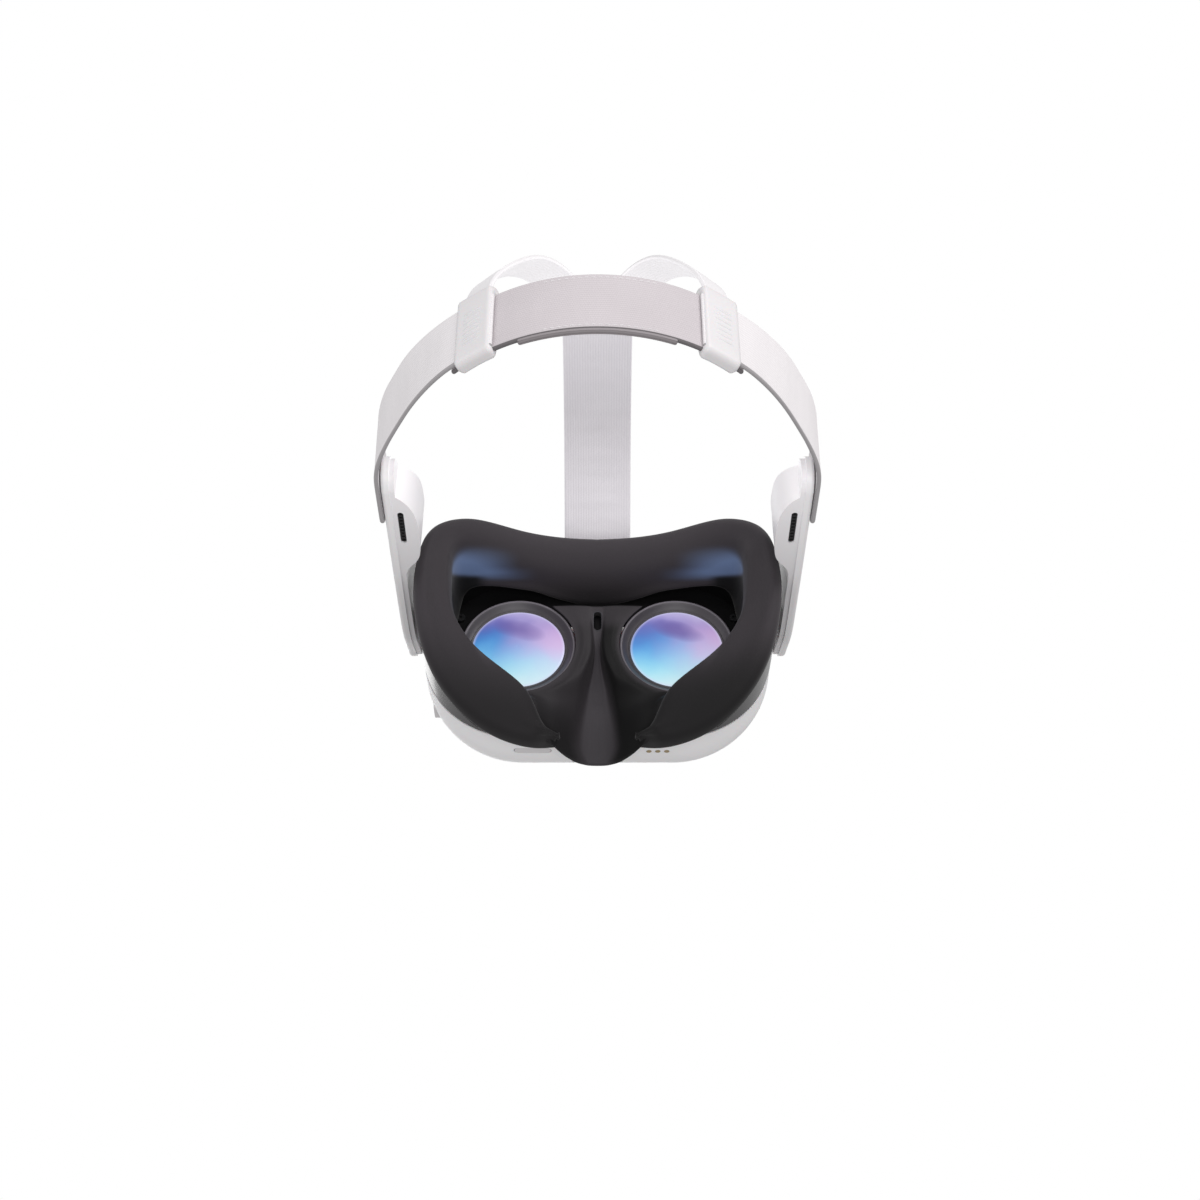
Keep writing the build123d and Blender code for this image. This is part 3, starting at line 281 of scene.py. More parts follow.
def stitches(name, paths, normals, pitch=2.4):
    """Rows of short thread stitches along paths (design mm) that lie on a surface."""
    length, radius, around = 1.7, 0.22, 6
    # place along the stitch, share of the radius
    rings = [(-0.5, 0.25), (-0.42, 0.75), (-0.2, 1.0), (0.2, 1.0), (0.42, 0.75), (0.5, 0.25)]
    verts, faces = [], []
    for path, path_normals in zip(paths, normals):
        run = arc_lengths(path)
        for k in range(int(run[-1] // pitch)):
            middle = (k + 0.5) * pitch
            at = interp_rows(middle, run, path)
            along = unit(interp_rows(middle + 0.2, run, path) - at)
            out = unit(interp_rows(middle, run, path_normals))
            across = unit(np.cross(along, out))
            base = len(verts)
            for place, share in rings:
                sink = -0.5 * (abs(place) * 2) ** 3 * radius
                for a in range(around):
                    angle = a * math.pi / 3
                    verts.append(to_row(at + along * place * length
                                        + out * (sink + radius * share * math.sin(angle))
                                        + across * radius * share * math.cos(angle)))
            for j in range(len(rings) - 1):
                this, after = base + j * around, base + (j + 1) * around
                for a in range(around):
                    b = (a + 1) % around
                    faces.append((this + a, this + b, after + b, after + a))
            for ring in (0, len(rings) - 1):
                faces.append(tuple(base + ring * around + a for a in range(around)))
    return new_object(name, verts, faces, "thread", "head_strap")


# ------------------------------------------------------------------ shader nodes
def feed(socket, value):
    """Link a Wire into an input socket, or set the socket's own value."""
    if isinstance(value, Wire):
        socket.id_data.links.new(value.socket, socket)
    else:
        socket.default_value = (*value, 1.0) if socket.type == "RGBA" else value


def add_node(tree, kind, *operands, output=0, **settings):
    """Add a shader node and return one of its outputs as a Wire.

    Operands feed the inputs in order. A capitalised setting feeds the input of that name;
    any other setting is a property of the node."""
    node = tree.nodes.new("ShaderNode" + kind)
    for socket, value in zip(node.inputs, operands):
        feed(socket, value)
    for name, value in settings.items():
        if name[0].isupper():
            feed(node.inputs[name.replace("_", " ")], value)
        else:
            setattr(node, name, value)
    return Wire(node.outputs[output])


def math_node(operation, swapped=False):
    """A Wire method that adds a math node."""
    def method(wire, *others):
        operands = (wire, *others)
        if swapped:
            operands = operands[::-1]
        return add_node(wire.socket.id_data, "Math", *operands, operation=operation)
    return method


class Wire:
    """An output socket; arithmetic on it adds math nodes."""
    def __init__(self, socket):
        self.socket = socket

    __add__ = math_node("ADD")
    __sub__ = math_node("SUBTRACT")
    __rsub__ = math_node("SUBTRACT", swapped=True)
    __mul__ = math_node("MULTIPLY")
    __truediv__ = math_node("DIVIDE")
    sine = math_node("SINE")
    sign = math_node("SIGN")
    sqrt = math_node("SQRT")
    maximum = math_node("MAXIMUM")

    def clamped(self):
        """Clamp the math node behind this wire to 0..1."""
        self.socket.node.use_clamp = True
        return self


materials = {}       # every material made here, by name


class Shader:
    """A node material built round one Principled BSDF."""
    def __init__(self, name):
        material = bpy.data.materials.new(name)
        material.use_nodes = True
        self.tree = material.node_tree
        self.tree.nodes.clear()
        self.output = self.tree.nodes.new("ShaderNodeOutputMaterial")
        self.surface = self.add("BsdfPrincipled")
        feed(self.output.inputs[0], self.surface)
        self.position = self.add("TexCoord", output="Object")
        materials[name] = material

    def add(self, kind, *operands, **settings):
        return add_node(self.tree, kind, *operands, **settings)

    def set(self, **values):
        """Feed Principled inputs, named with underscores for spaces."""
        for name, value in values.items():
            feed(self.surface.socket.node.inputs[name.replace("_", " ")], value)

    def split(self, wire, kind="SeparateXYZ"):
        return [Wire(part) for part in self.add(kind, wire).socket.node.outputs]

    def normal(self):
        """X, Y and Z of the surface normal."""
        return self.split(self.add("NewGeometry", output="Normal"))

    def noise(self, scale, detail, rough, vector=None):
        return self.add("TexNoise", Scale=scale, Detail=detail, Roughness=rough,
                        Vector=vector or self.position)

    def mix(self, factor, first, second):
        mixed = self.add("Mix", factor, output=2, data_type="RGBA")
        inputs = mixed.socket.node.inputs
        feed(inputs[6], first)
        feed(inputs[7], second)
        return mixed

    def ramp(self, factor, stops):
        """Smooth colour ramp over (position, colour) stops."""
        wire = self.add("ValToRGB", factor)
        ramp = wire.socket.node.color_ramp
        ramp.interpolation = "B_SPLINE"
        elements = ramp.elements
        while len(elements) > 1:
            elements.remove(elements[-1])
        elements[0].position = stops[0][0]
        elements[0].color = (*stops[0][1], 1)
        for position, color in stops[1:]:
            elements.new(position).color = (*color, 1)
        return wire

    def bump(self, height, strength, distance_mm):
        self.set(Normal=self.add("Bump", Strength=strength, Distance=distance_mm / 1000,
                                 Height=height))


def scaled(color, factor):
    return tuple(channel * factor for channel in color)


def progress(wire, start, end):
    """0 at start, 1 at end, clamped."""
    return ((wire - start) / (end - start)).clamped()


# ------------------------------------------------------------------ kinds of material
def moulded(name, color, rough, grain, vary, coat=0.0, spec=0.5, sss=0.0, painted_glow=None):
    """Moulded plastic: fine grain, slight colour and gloss variation.

    A glow table paints light, as emission, on the side facing the head between two Y places (m),
    and paints shade on the front, towards the visor."""
    grain_mm = 0.35
    shader = Shader(name)
    fine = shader.noise(scale=1000 / grain_mm / 2, detail=3.0, rough=0.6)
    broad = shader.noise(scale=28.0, detail=3.0, rough=0.55)
    base = shader.mix(broad, scaled(color, 1 - vary), scaled(color, 1 + vary))
    if painted_glow:
        x, y, z = shader.split(shader.position)
        rearward = progress(y, painted_glow["start"], painted_glow["end"])
        # painted shade: the colour darkens towards the front, near the visor
        base = shader.mix((1.0 - rearward) * 0.8, base, scaled(color, painted_glow["front_shade"]))
        # painted light: emission on the side facing the head, stronger towards the rear
        facing_out = shader.normal()[0] * x.sign()
        inward = (0.35 - facing_out * 1.4).clamped()
        shader.set(Emission_Color=base,
                   Emission_Strength=inward * (rearward * painted_glow["strength"]))
    shader.set(Base_Color=base, Specular_IOR_Level=spec, Coat_Weight=coat, Coat_Roughness=0.12,
               Roughness=broad * 0.10 + (rough - 0.05))
    shader.bump(fine, strength=grain, distance_mm=0.03)
    if sss:
        shader.set(Subsurface_Weight=sss, Subsurface_Scale=0.004)


def woven(name, color, shade, rib_mm=1.25, weft_mm=0.8, line=None, painted_glow=None):
    """Webbing with lengthwise ribs crossed by fine weft, from the UV map in metres.

    A line table paints shade on everything below a height z (design mm); a glow table paints
    light, as emission, on the underside, with a strength that changes between two Y places (m)."""
    shader = Shader(name)
    u, v, _ = shader.split(shader.add("UVMap", uv_map="UVMap"))
    along = u * (1000 * 2 * math.pi / weft_mm)
    across = v * (1000 * 2 * math.pi / rib_mm)
    rib = across.sine() * 0.5 + 0.5
    shift = (across * 0.5).sine().sign() * (math.pi / 2)     # half a weft on every other rib
    weft = (along + shift).sine() * 0.5 + 0.5
    fuzz = shader.noise(scale=1400.0, detail=3.0, rough=0.7)
    cloud = shader.noise(scale=34.0, detail=3.0, rough=0.5)
    height = rib * 0.6 + (weft * 0.35 + fuzz * 0.35)
    base = shader.mix((height * 0.55 + cloud * 0.45).clamped(), shade, color)
    if line:
        # painted shade along the strap's lower edge
        z = shader.split(shader.position)[2]
        below = (((line["z"] + DESIGN_OFFSET[2]) / 1000 - z) * 2500.0).clamped()
        base = shader.mix(below, base, scaled(shade, line["shade_factor"]))
    shader.set(Base_Color=base, Roughness=0.88, Sheen_Weight=0.22, Sheen_Roughness=0.4,
               Specular_IOR_Level=0.25)
    if painted_glow:
        # painted light: emission on the underside, standing in for light through the weave
        y = shader.split(shader.position)[1]
        rearward = progress(y, painted_glow["start"], painted_glow["end"])
        downward = (0.15 - shader.normal()[2] * 1.6).clamped()
        strength = rearward * (painted_glow["rear"] - painted_glow["front"]) + painted_glow["front"]
        shader.set(Emission_Color=base, Emission_Strength=downward * strength)
    shader.bump(height, strength=0.5, distance_mm=0.14)


def apply_painted_light(shader, base):
    """Apply the painted-light attribute: red scales the colour (painted shade), green adds a
    painted cool blue glow, blue lightens (painted highlight).
    """
    painted_light = shader.add("Attribute", output="Color", attribute_name="painted_light")
    red, green, blue = shader.split(painted_light, "SeparateColor")
    base = shader.mix(blue, base, (0.17, 0.155, 0.18))
    base = shader.mix(green, base, (0.15, 0.215, 0.37))
    return shader.add("VectorMath", base, operation="SCALE", Scale=red)


def knitted(name, color, shade, pitch_mm=0.55, strength=0.35, rough=0.8, sheen=0.3,
            painted_light=False):
    """Fine knit."""
    shader = Shader(name)
    loops = shader.add("TexVoronoi", output="Distance", Scale=1000.0 / pitch_mm,
                       Vector=shader.position)
    fuzz = shader.noise(scale=1800.0, detail=2.0, rough=0.7)
    broad = shader.noise(scale=22.0, detail=3.0, rough=0.5)
    base = shader.mix((loops * 0.5 + broad * 0.5).clamped(), shade, color)
    # painted shade, glow and highlight from the per-vertex attribute
    if painted_light:
        base = apply_painted_light(shader, base)
    shader.set(Base_Color=base, Roughness=rough, Sheen_Weight=sheen, Sheen_Roughness=0.45,
               Specular_IOR_Level=0.3)
    shader.bump(loops * 0.6 + fuzz * 0.4, strength=strength, distance_mm=0.06)


def metal(name, color, rough):
    """Metal with faint streaks along X."""
    shader = Shader(name)
    stretched = shader.add("Mapping", Scale=(0.06, 1.0, 1.0), Vector=shader.position)
    streaks = shader.noise(scale=900.0, detail=3.0, rough=0.5, vector=stretched)
    shader.set(Base_Color=shader.mix(streaks, scaled(color, 0.88), color), Metallic=1.0,
               Roughness=streaks * 0.14 + rough)
    shader.bump(streaks, strength=0.3, distance_mm=0.01)


# Painted reflection colours on the lens, from the bottom (0) to the top (1), on the lens's left
# and right.
LENS_LEFT = [
    (0.0, (0.78, 0.97, 1.0)), (0.16, (0.42, 0.86, 0.97)), (0.34, (0.22, 0.62, 0.92)),
    (0.50, (0.10, 0.38, 0.80)), (0.66, (0.06, 0.22, 0.62)), (0.80, (0.12, 0.14, 0.48)),
    (0.90, (0.32, 0.28, 0.64)), (1.0, (0.56, 0.50, 0.84))]
LENS_RIGHT = [
    (0.0, (0.82, 0.96, 1.0)), (0.20, (0.60, 0.84, 0.96)), (0.38, (0.66, 0.62, 0.90)),
    (0.55, (0.70, 0.50, 0.80)), (0.72, (0.62, 0.42, 0.74)), (0.86, (0.46, 0.36, 0.68)),
    (1.0, (0.64, 0.58, 0.86))]


def lens_coating(name, centre_x):
    """Coated lens with painted reflections: white to cyan at the bottom, blue and violet above,
    pink on the right, shining as emission.
    """
    shader = Shader(name)
    x, y, z = shader.split(shader.position)
    radius = LENS_RADIUS / 1000
    # place on the lens in radii: u towards the right, v up
    u = (x - centre_x / 1000) * (-1 / radius)
    v = (z - DESIGN_OFFSET[2] / 1000) * (1 / radius)
    wobble = shader.noise(scale=60.0, detail=2.0, rough=0.5) - 0.5

    height = ((v * 0.5 + 0.5) + wobble * 0.22).clamped()
    left = shader.ramp(height, LENS_LEFT)
    right = shader.ramp(height, LENS_RIGHT)
    rightward = ((u * 0.62 + 0.40) + wobble * 0.45).clamped()
    blend = shader.add("MapRange", rightward, interpolation_type="SMOOTHSTEP")
    color = shader.mix(blend, left, right)

    # painted reflection: violet blot across the upper middle
    blot_u = (u - 0.02) * 1.7
    blot_v = ((v - 0.46) + u * 0.28) * 3.4
    reflection_blot = (1.0 - ((blot_u * blot_u + blot_v * blot_v) + wobble * 1.1)).clamped()
    color = shader.mix(reflection_blot * 0.75, color, (0.16, 0.105, 0.36))

    # painted highlight: pale rim
    rim = (((u * u + v * v).sqrt() - 0.93) * 16.0).clamped()
    color = shader.mix(rim * 0.55, color, (0.72, 0.74, 0.98))
    # dark base; the painted reflection colours glow as emission
    shader.set(Base_Color=shader.mix(0.85, color, (0.02, 0.02, 0.04)), Roughness=0.32,
               Coat_Weight=0.25, Coat_Roughness=0.22, Specular_IOR_Level=0.25,
               Emission_Color=color, Emission_Strength=0.78)


# ------------------------------------------------------------------ the materials
# name, colour, roughness, strength of the grain, colour variation, further arguments
PLASTICS = [
    ("shell_white_plastic", (0.83, 0.815, 0.825), 0.42, 0.25, 0.02, dict(sss=0.05)),
    # arm and pod: painted light on the side facing the head, painted shade towards the visor
    ("arm_white_plastic", (0.85, 0.835, 0.845), 0.38, 0.2, 0.02,
     dict(sss=0.05, painted_glow=dict(start=-0.035, end=0.045, front_shade=0.78, strength=0.26))),
    ("pod_grey_plastic", (0.80, 0.78, 0.795), 0.45, 0.25, 0.03,
     dict(sss=0.03, painted_glow=dict(start=-0.030, end=0.032, front_shade=0.70, strength=0.34))),
    ("slider_plastic", (0.72, 0.70, 0.71), 0.45, 0.25, 0.03, dict(sss=0.05)),
    # black bezel and screws, darkened beyond their own black to paint the shade in the recesses
    ("bezel_black_plastic", (0.0035, 0.0032, 0.0036), 0.62, 0.5, 0.15, dict(spec=0.2)),
    ("blackened_screw", (0.010, 0.010, 0.011), 0.45, 0.2, 0.15, {}),
    ("frame_charcoal_gloss", (0.020, 0.017, 0.020), 0.26, 0.12, 0.12, dict(coat=0.35)),
    ("barrel_charcoal", (0.060, 0.054, 0.061), 0.42, 0.3, 0.1, {}),
    ("inner_part_black", (0.018, 0.018, 0.02), 0.5, 0.3, 0.15, {}),
    ("window_gloss_black", (0.008, 0.008, 0.010), 0.12, 0.03, 0.2, dict(coat=0.3, spec=0.35)),
    ("sensor_gloss_black", (0.004, 0.004, 0.005), 0.12, 0.02, 0.2, dict(coat=1.0)),
    ("button_grey", (0.62, 0.60, 0.61), 0.4, 0.2, 0.03, {}),
    ("solder_mask", (0.02, 0.09, 0.045), 0.35, 0.2, 0.2, dict(coat=0.4)),
    ("battery_film", (0.09, 0.09, 0.10), 0.3, 0.1, 0.1, dict(coat=0.4)),
    ("band_edge_rubber", (0.27, 0.245, 0.255), 0.6, 0.5, 0.08, {}),
    ("speaker_mesh", (0.006, 0.006, 0.007), 0.7, 0.8, 0.2, {}),
    ("sensor_bridge_charcoal", (0.026, 0.025, 0.031), 0.5, 0.3, 0.1, {}),
    ("sensor_pane_black", (0.002, 0.002, 0.0025), 0.5, 0.05, 0.1, dict(spec=0.12)),
    # lighter grey edge ring: painted highlight
    ("barrel_edge_grey", (0.16, 0.145, 0.165), 0.42, 0.15, 0.06, {}),
]
for *look, further in PLASTICS:
    moulded(*look, **further)

metal("ground_steel", color=(0.62, 0.62, 0.63), rough=0.22)
metal("blasted_aluminium", color=(0.66, 0.67, 0.69), rough=0.38)
metal("gold_plating", color=(0.42, 0.33, 0.20), rough=0.3)

# the light and the rear webbing get painted shade along their lower edge
woven("webbing_light", color=(0.84, 0.815, 0.825), shade=(0.69, 0.66, 0.675),
      line=dict(z=5.9, shade_factor=0.52))
# the leg and the top webbing get painted light on their undersides
woven("webbing_leg", color=(0.86, 0.845, 0.855), shade=(0.74, 0.72, 0.735),
      painted_glow=dict(start=0.0, end=0.1, front=0.52, rear=0.52))
woven("webbing_rear", color=(0.63, 0.585, 0.605), shade=(0.47, 0.435, 0.45),
      rib_mm=1.1, weft_mm=0.9, line=dict(z=5.3, shade_factor=0.30))
woven("webbing_top", color=(0.87, 0.845, 0.875), shade=(0.71, 0.68, 0.72), rib_mm=1.2,
      painted_glow=dict(start=-0.02, end=0.10, front=0.0, rear=0.62))
woven("thread", color=(0.80, 0.78, 0.79), shade=(0.6, 0.58, 0.59), rib_mm=0.3, weft_mm=0.3)

knitted("rear_pad_knit", color=(0.66, 0.63, 0.645), shade=(0.50, 0.48, 0.49))
knitted("cushion_charcoal", color=(0.043, 0.037, 0.043), shade=(0.033, 0.028, 0.032),
        strength=0.16, rough=0.74, sheen=0.10, painted_light=True)
knitted("nose_silicone", color=(0.041, 0.036, 0.041), shade=(0.033, 0.029, 0.033),
        pitch_mm=0.4, strength=0.07, rough=0.62, sheen=0.02, painted_light=True)

for side, label in SIDES:
    lens_coating("lens_coating_" + label, side * LENS_X)

# Material of each CAD node; * stands for left and right.
CAD_NODES = {
    "shell_white_plastic": "front_shell",
    "arm_white_plastic": "arm_shell_*",
    "pod_grey_plastic": "arm_pod_*",
    "slider_plastic": "top_strap_bracket strap_slider_*",
    "bezel_black_plastic": "rear_bezel",
    "blackened_screw": "bezel_screws guide_rods",
    "frame_charcoal_gloss": "interface_frame",
    "barrel_charcoal": "lens_barrel_*",
    "inner_part_black": "tracking_camera_* colour_camera_* depth_projector fan_housing "
                        "fan_rotor headphone_jack depth_button_* speaker_*",
    "window_gloss_black": "sensor_window_* sensor_window_center display_*",
    "sensor_gloss_black": "proximity_sensor",
    "button_grey": "ipd_wheel power_button volume_rocker",
    "ground_steel": "usb_port pivot_pin_*",
    "blasted_aluminium": "chassis_plate heat_spreader ipd_rack_*",
    "gold_plating": "charging_contacts",
    "solder_mask": "main_board",
    "battery_film": "battery_pack",
    "webbing_light": "side_strap_*",
    "webbing_leg": "fork_leg_*",
    "webbing_rear": "rear_band",
    "webbing_top": "top_strap",
    "band_edge_rubber": "rear_band_edge",
    "rear_pad_knit": "rear_pad",
    "speaker_mesh": "speaker_grille_*",
    "cushion_charcoal": "face_cushion",
    "nose_silicone": "nose_flap",
    "lens_coating_*": "eye_lens_*",
}
cad_material = {}
for material, nodes in CAD_NODES.items():
    for _, label in SIDES:
        for node in nodes.replace("*", label).split():
            cad_material[node] = materials[material.replace("*", label)]

for name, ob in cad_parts.items():
    if ob.material_slots:
        for slot in ob.material_slots:
            slot.material = cad_material[name]
    else:
        ob.data.materials.append(cad_material[name])


# ------------------------------------------------------------------ soft skins
# per-vertex painted light: shade, glow and highlight
def set_painted_light(ob, painted_light):
    layer = ob.data.color_attributes.new(name="painted_light", type="FLOAT_COLOR", domain="POINT")
    layer.data.foreach_set("color", np.asarray(painted_light, np.float32).ravel())


def puff(ob, pinned, cap_mm):
    """Fill a padded piece out by cloth pressure.

    pinned is each vertex's hold, 0 to 1; cap_mm is the furthest a vertex may move."""
    pinned = np.asarray(pinned)
    start = np.array([v.co for v in ob.data.vertices])
    group = ob.vertex_groups.new(name="hold")
    for i, weight in enumerate(pinned):
        if weight > 0:
            group.add([i], float(weight), "REPLACE")
    cloth = ob.modifiers.new("Cloth", "CLOTH")
    settings = cloth.settings
    settings.use_pressure = True
    settings.uniform_pressure_force = 4.0
    settings.effector_weights.gravity = 0
    settings.quality = 3
    settings.mass = 0.2
    settings.vertex_group_mass = "hold"
    settings.pin_stiffness = 2.0
    cloth.collision_settings.use_collision = False
    bpy.context.view_layer.objects.active = ob
    ob.select_set(True)
    for number in range(1, 15):
        scene.frame_set(number)
    bpy.ops.object.modifier_apply(modifier="Cloth")
    move = np.array([v.co for v in ob.data.vertices]) - start
    length = np.linalg.norm(move, axis=1, keepdims=True)
    move *= np.minimum(1.0, cap_mm / 1000 / np.maximum(length, 1e-9)) * (1 - pinned[:, None])
    ob.data.vertices.foreach_set("co", (start + move).astype(np.float32).ravel())
    ob.data.update()
    ob.select_set(False)
    scene.frame_set(1)
    ob.vertex_groups.remove(ob.vertex_groups["hold"])


def finish_skin(ob, thickness, cad_name):
    """Turn an open skin towards the wearer, thicken it and put it in place of a CAD node."""
    mesh = ob.data
    if sum(p.normal.y * p.area for p in mesh.polygons) < 0:
        mesh.flip_normals()
        mesh.update()
    skin = ob.modifiers.new("Skin", "SOLIDIFY")
    skin.thickness = thickness
    skin.offset = -1
    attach(ob, "facial_interface")
    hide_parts(cad_name)


# ------------------------------------------------------------------ face cushion
# Outlines of the right half, mirrored across X = 0: (distance from the middle, z), from the
# top of the brow round the temple to the nose.
FOAM_OUT = [
    (0, 50.6), (18, 50.8), (34, 51.2), (48, 51.6), (59.8, 49.0), (69.2, 42.9), (76.0, 33.4),
    (79.4, 20), (80.4, 6), (79.3, -8), (76, -22), (70, -34), (61, -43.2), (50, -49.0),
    (38, -51.6), (26, -51.8), (18.4, -50.4)]
FOAM_IN = [
    (0, 36.6), (20, 36.6), (40, 36.4), (53, 35.2), (61, 31.5), (65.2, 24.5), (65.8, 13),
    (65.0, 2.5), (63.0, -6.0), (58.8, -13.0), (53.0, -18.6), (45.2, -23.0), (36.5, -27.4),
    (31.0, -31.5), (27.0, -38.0), (22.5, -45.4), (16.6, -49.2)]
# share of the outer outline, matching share of the inner outline
OUT_TO_IN = [
    (0, 0), (.0889, .12), (.178, .241), (.25, .318), (.325, .378), (.375, .42), (.43, .455),
    (.5, .52), (1, 1)]
# depth of the face: (distance from the middle, y), and the change of y with height (z, y)
FACE = [
    (0, 20.0), (15, 21.0), (30, 24.0), (45, 29.3), (57, 35.2), (68, 40.5), (76, 44.2),
    (84, 46.6), (95, 48.5)]
STEP = [(-58, -21.0), (-34, -10.0), (-18, -4.2), (0, -0.6), (20, 0.0), (60, 0.0)]
FACE_CURVE = spline(FACE, 400).T
STEP_CURVE = spline(STEP, 400).T
# inner edge of the brow and the temple: (share of the outline, x, y, z)
INNER_EDGE = [
    (0, 0, -8.0, 30.9), (.04, 9, -7.3, 31.0), (.08, 18, -4.2, 31.3), (.13, 29.5, 1.2, 32.0),
    (.20, 46, 4.6, 32.2), (.25, 54.5, 6.0, 31.4), (.29, 59.0, 5.0, 30.4),
    (.325, 61.8, 2.0, 29.4), (.35, 63.2, -1.0, 27.8), (.38, 64.4, -3.0, 25.0),
    (.42, 65.2, -3.8, 20.0), (.5, 65.2, -4.0, 8.0)]
# values round the outline, each against its share
ROLL_RADIUS = [(0, 3.0), (.34, 2.2), (.42, 1.7), (.62, 1.8), (.75, 2.8), (.9, 4.0), (1, 3.4)]
EDGE_INWARD = [(0, 0.3), (.66, 0.3), (.75, 1.0), (.84, 2.2), (.93, 1.2), (1, 0.2)]
EDGE_DEPTH = [(0, -4.0), (.58, -3.6), (.68, -0.5), (.8, 0.0), (.92, 0.0), (1, 0.5)]
CUSHION_ROWS, CUSHION_COLUMNS = 200, 50     # round one half; from the outer to the inner edge
MIRROR_X = np.array([-1, 1, 1.0])


def face_depth(x, z):
    return float(np.interp(np.abs(x), *FACE_CURVE) + np.interp(z, *STEP_CURVE))


def cushion_section(outer, inner, radius, edge, brow):
    """One section of the cushion, from its outer wall over the face side to its inner edge."""
    width = np.linalg.norm(outer - inner)
    inward = (inner - outer) / width
    y_out, y_in = face_depth(*outer), face_depth(*inner)
    roll = min(radius, width * 0.45)
    lift = 0.9 * min(1.0, width / 14)

    def place(reach, y):
        return np.array([outer[0] + inward[0] * reach, y, outer[1] + inward[1] * reach])

    # padded section of the temple and the cheek: (reach from the outer outline, y)
    padded = [place(*station) for station in (
        (1.6, y_out - 10.5), (0.35, y_out - 9.2), (-0.15, y_out - 6.0), (0.35, y_out - 2.9),
        (1.9, y_out - 0.8), (min(4.4, width * .3), y_out + 0.15),
        (width * 0.48, (y_out + y_in) / 2 + lift * 0.7), (width - roll * 1.15, y_in + 0.15),
        (width - roll * 0.42, y_in - roll * 0.26), (width - roll * 0.04, y_in - roll * 0.95))]
    base = padded[-1]
    padded += [base + (edge - base) * np.array([.45, .38, .45]),
               base + (edge - base) * np.array([.78, .72, .78]),
               edge, edge + np.array([0.4, -0.3, 0.4])]
    section = spline(padded, CUSHION_COLUMNS)
    if brow > 0:
        # sloping section of the brow
        sloping = [place(*station) for station in (
            (1.6, y_out - 10.5), (0.35, y_out - 9.2), (-0.1, y_out - 6.2), (0.5, y_out - 3.3),
            (2.2, y_out - 1.2), (4.8, y_out - 0.25),
            (min(8.2, width * .55), (y_out + y_in) / 2 - 0.9),
            (min(11.6, width * .78), y_in - 3.2))]
        base = sloping[-1]
        for level, deep in ((.34, .137), (.59, .30), (.776, .60), (.92, .84), (1, 1)):
            sloping.append(base + (edge - base) * np.array([level, deep, level]))
        sloping.append(edge + np.array([0, -0.8, 1.6]))
        section = section * (1 - brow) + spline(sloping, CUSHION_COLUMNS) * brow
    return section


def cushion_painted_light(points, share, brow, tail):
    """Painted light of one half: red darkens hollows and low parts as painted shade, green is a
    painted cool glow, blue a painted highlight along the edge.
    """
    x, y, z = np.moveaxis(points, -1, 0)
    x = np.abs(x)
    share, brow, tail = share[:, None], brow[:, None], tail[:, None]
    column = np.arange(CUSHION_COLUMNS)
    slant = 0.595 * y + 0.804 * z           # distance up and to the rear

    # painted shade: darker on the front of the brow, towards the bottom, on the outer wall and
    # slightly away from the brow
    back = np.where(z > 20, smoothstep(-9.0, 8.0, y + 0.06 * x), 1.0)
    shade = (0.25 + 0.75 * back) * brow + (1 - brow)
    low = 1 - 0.74 * smoothstep(-12, -46, z)
    outer_wall = smoothstep(4, 0, column) * 0.35
    # painted shade: near black on the inner walls of the temple and cheek, where the gap lies in
    # shadow
    inner_edge = (smoothstep(30.5, 33, column)
                  * smoothstep(.38, .43, share) * smoothstep(.80, .72, share))
    temple_edge = (smoothstep(24, 27, column) * smoothstep(34.0, 31.6, slant)
                   * smoothstep(.22, .27, share) * smoothstep(.45, .41, share))
    hollow = 1 - 0.97 * np.maximum(inner_edge, temple_edge)

    # painted glow from the lenses on the inner brow
    inner_part = smoothstep(21, 27, column)
    painted_glow = (smoothstep(34.0, 62.0, x) * smoothstep(31.5, 35.5, slant)
            * smoothstep(48.0, 36.5, slant) * inner_part * (1 - tail))
    faint_painted_glow = (smoothstep(26.0, 46.0, x) * smoothstep(62, 48, x)
                  * smoothstep(30.5, 33.0, slant) * smoothstep(38, 34, slant)
                  * inner_part * 0.35)
    # painted highlight line along the inner edge below the brow
    edge_line = ((1 - brow ** 2) * smoothstep(24.5, 27, column)
                 * smoothstep(33, 29.5, column) * smoothstep(0.80, 0.62, share))
    return join(shade * low * (1 - outer_wall) * hollow * (0.93 + 0.07 * brow),
                np.minimum(1.0, 1.25 * painted_glow + faint_painted_glow), 0.42 * edge_line, 1.0)


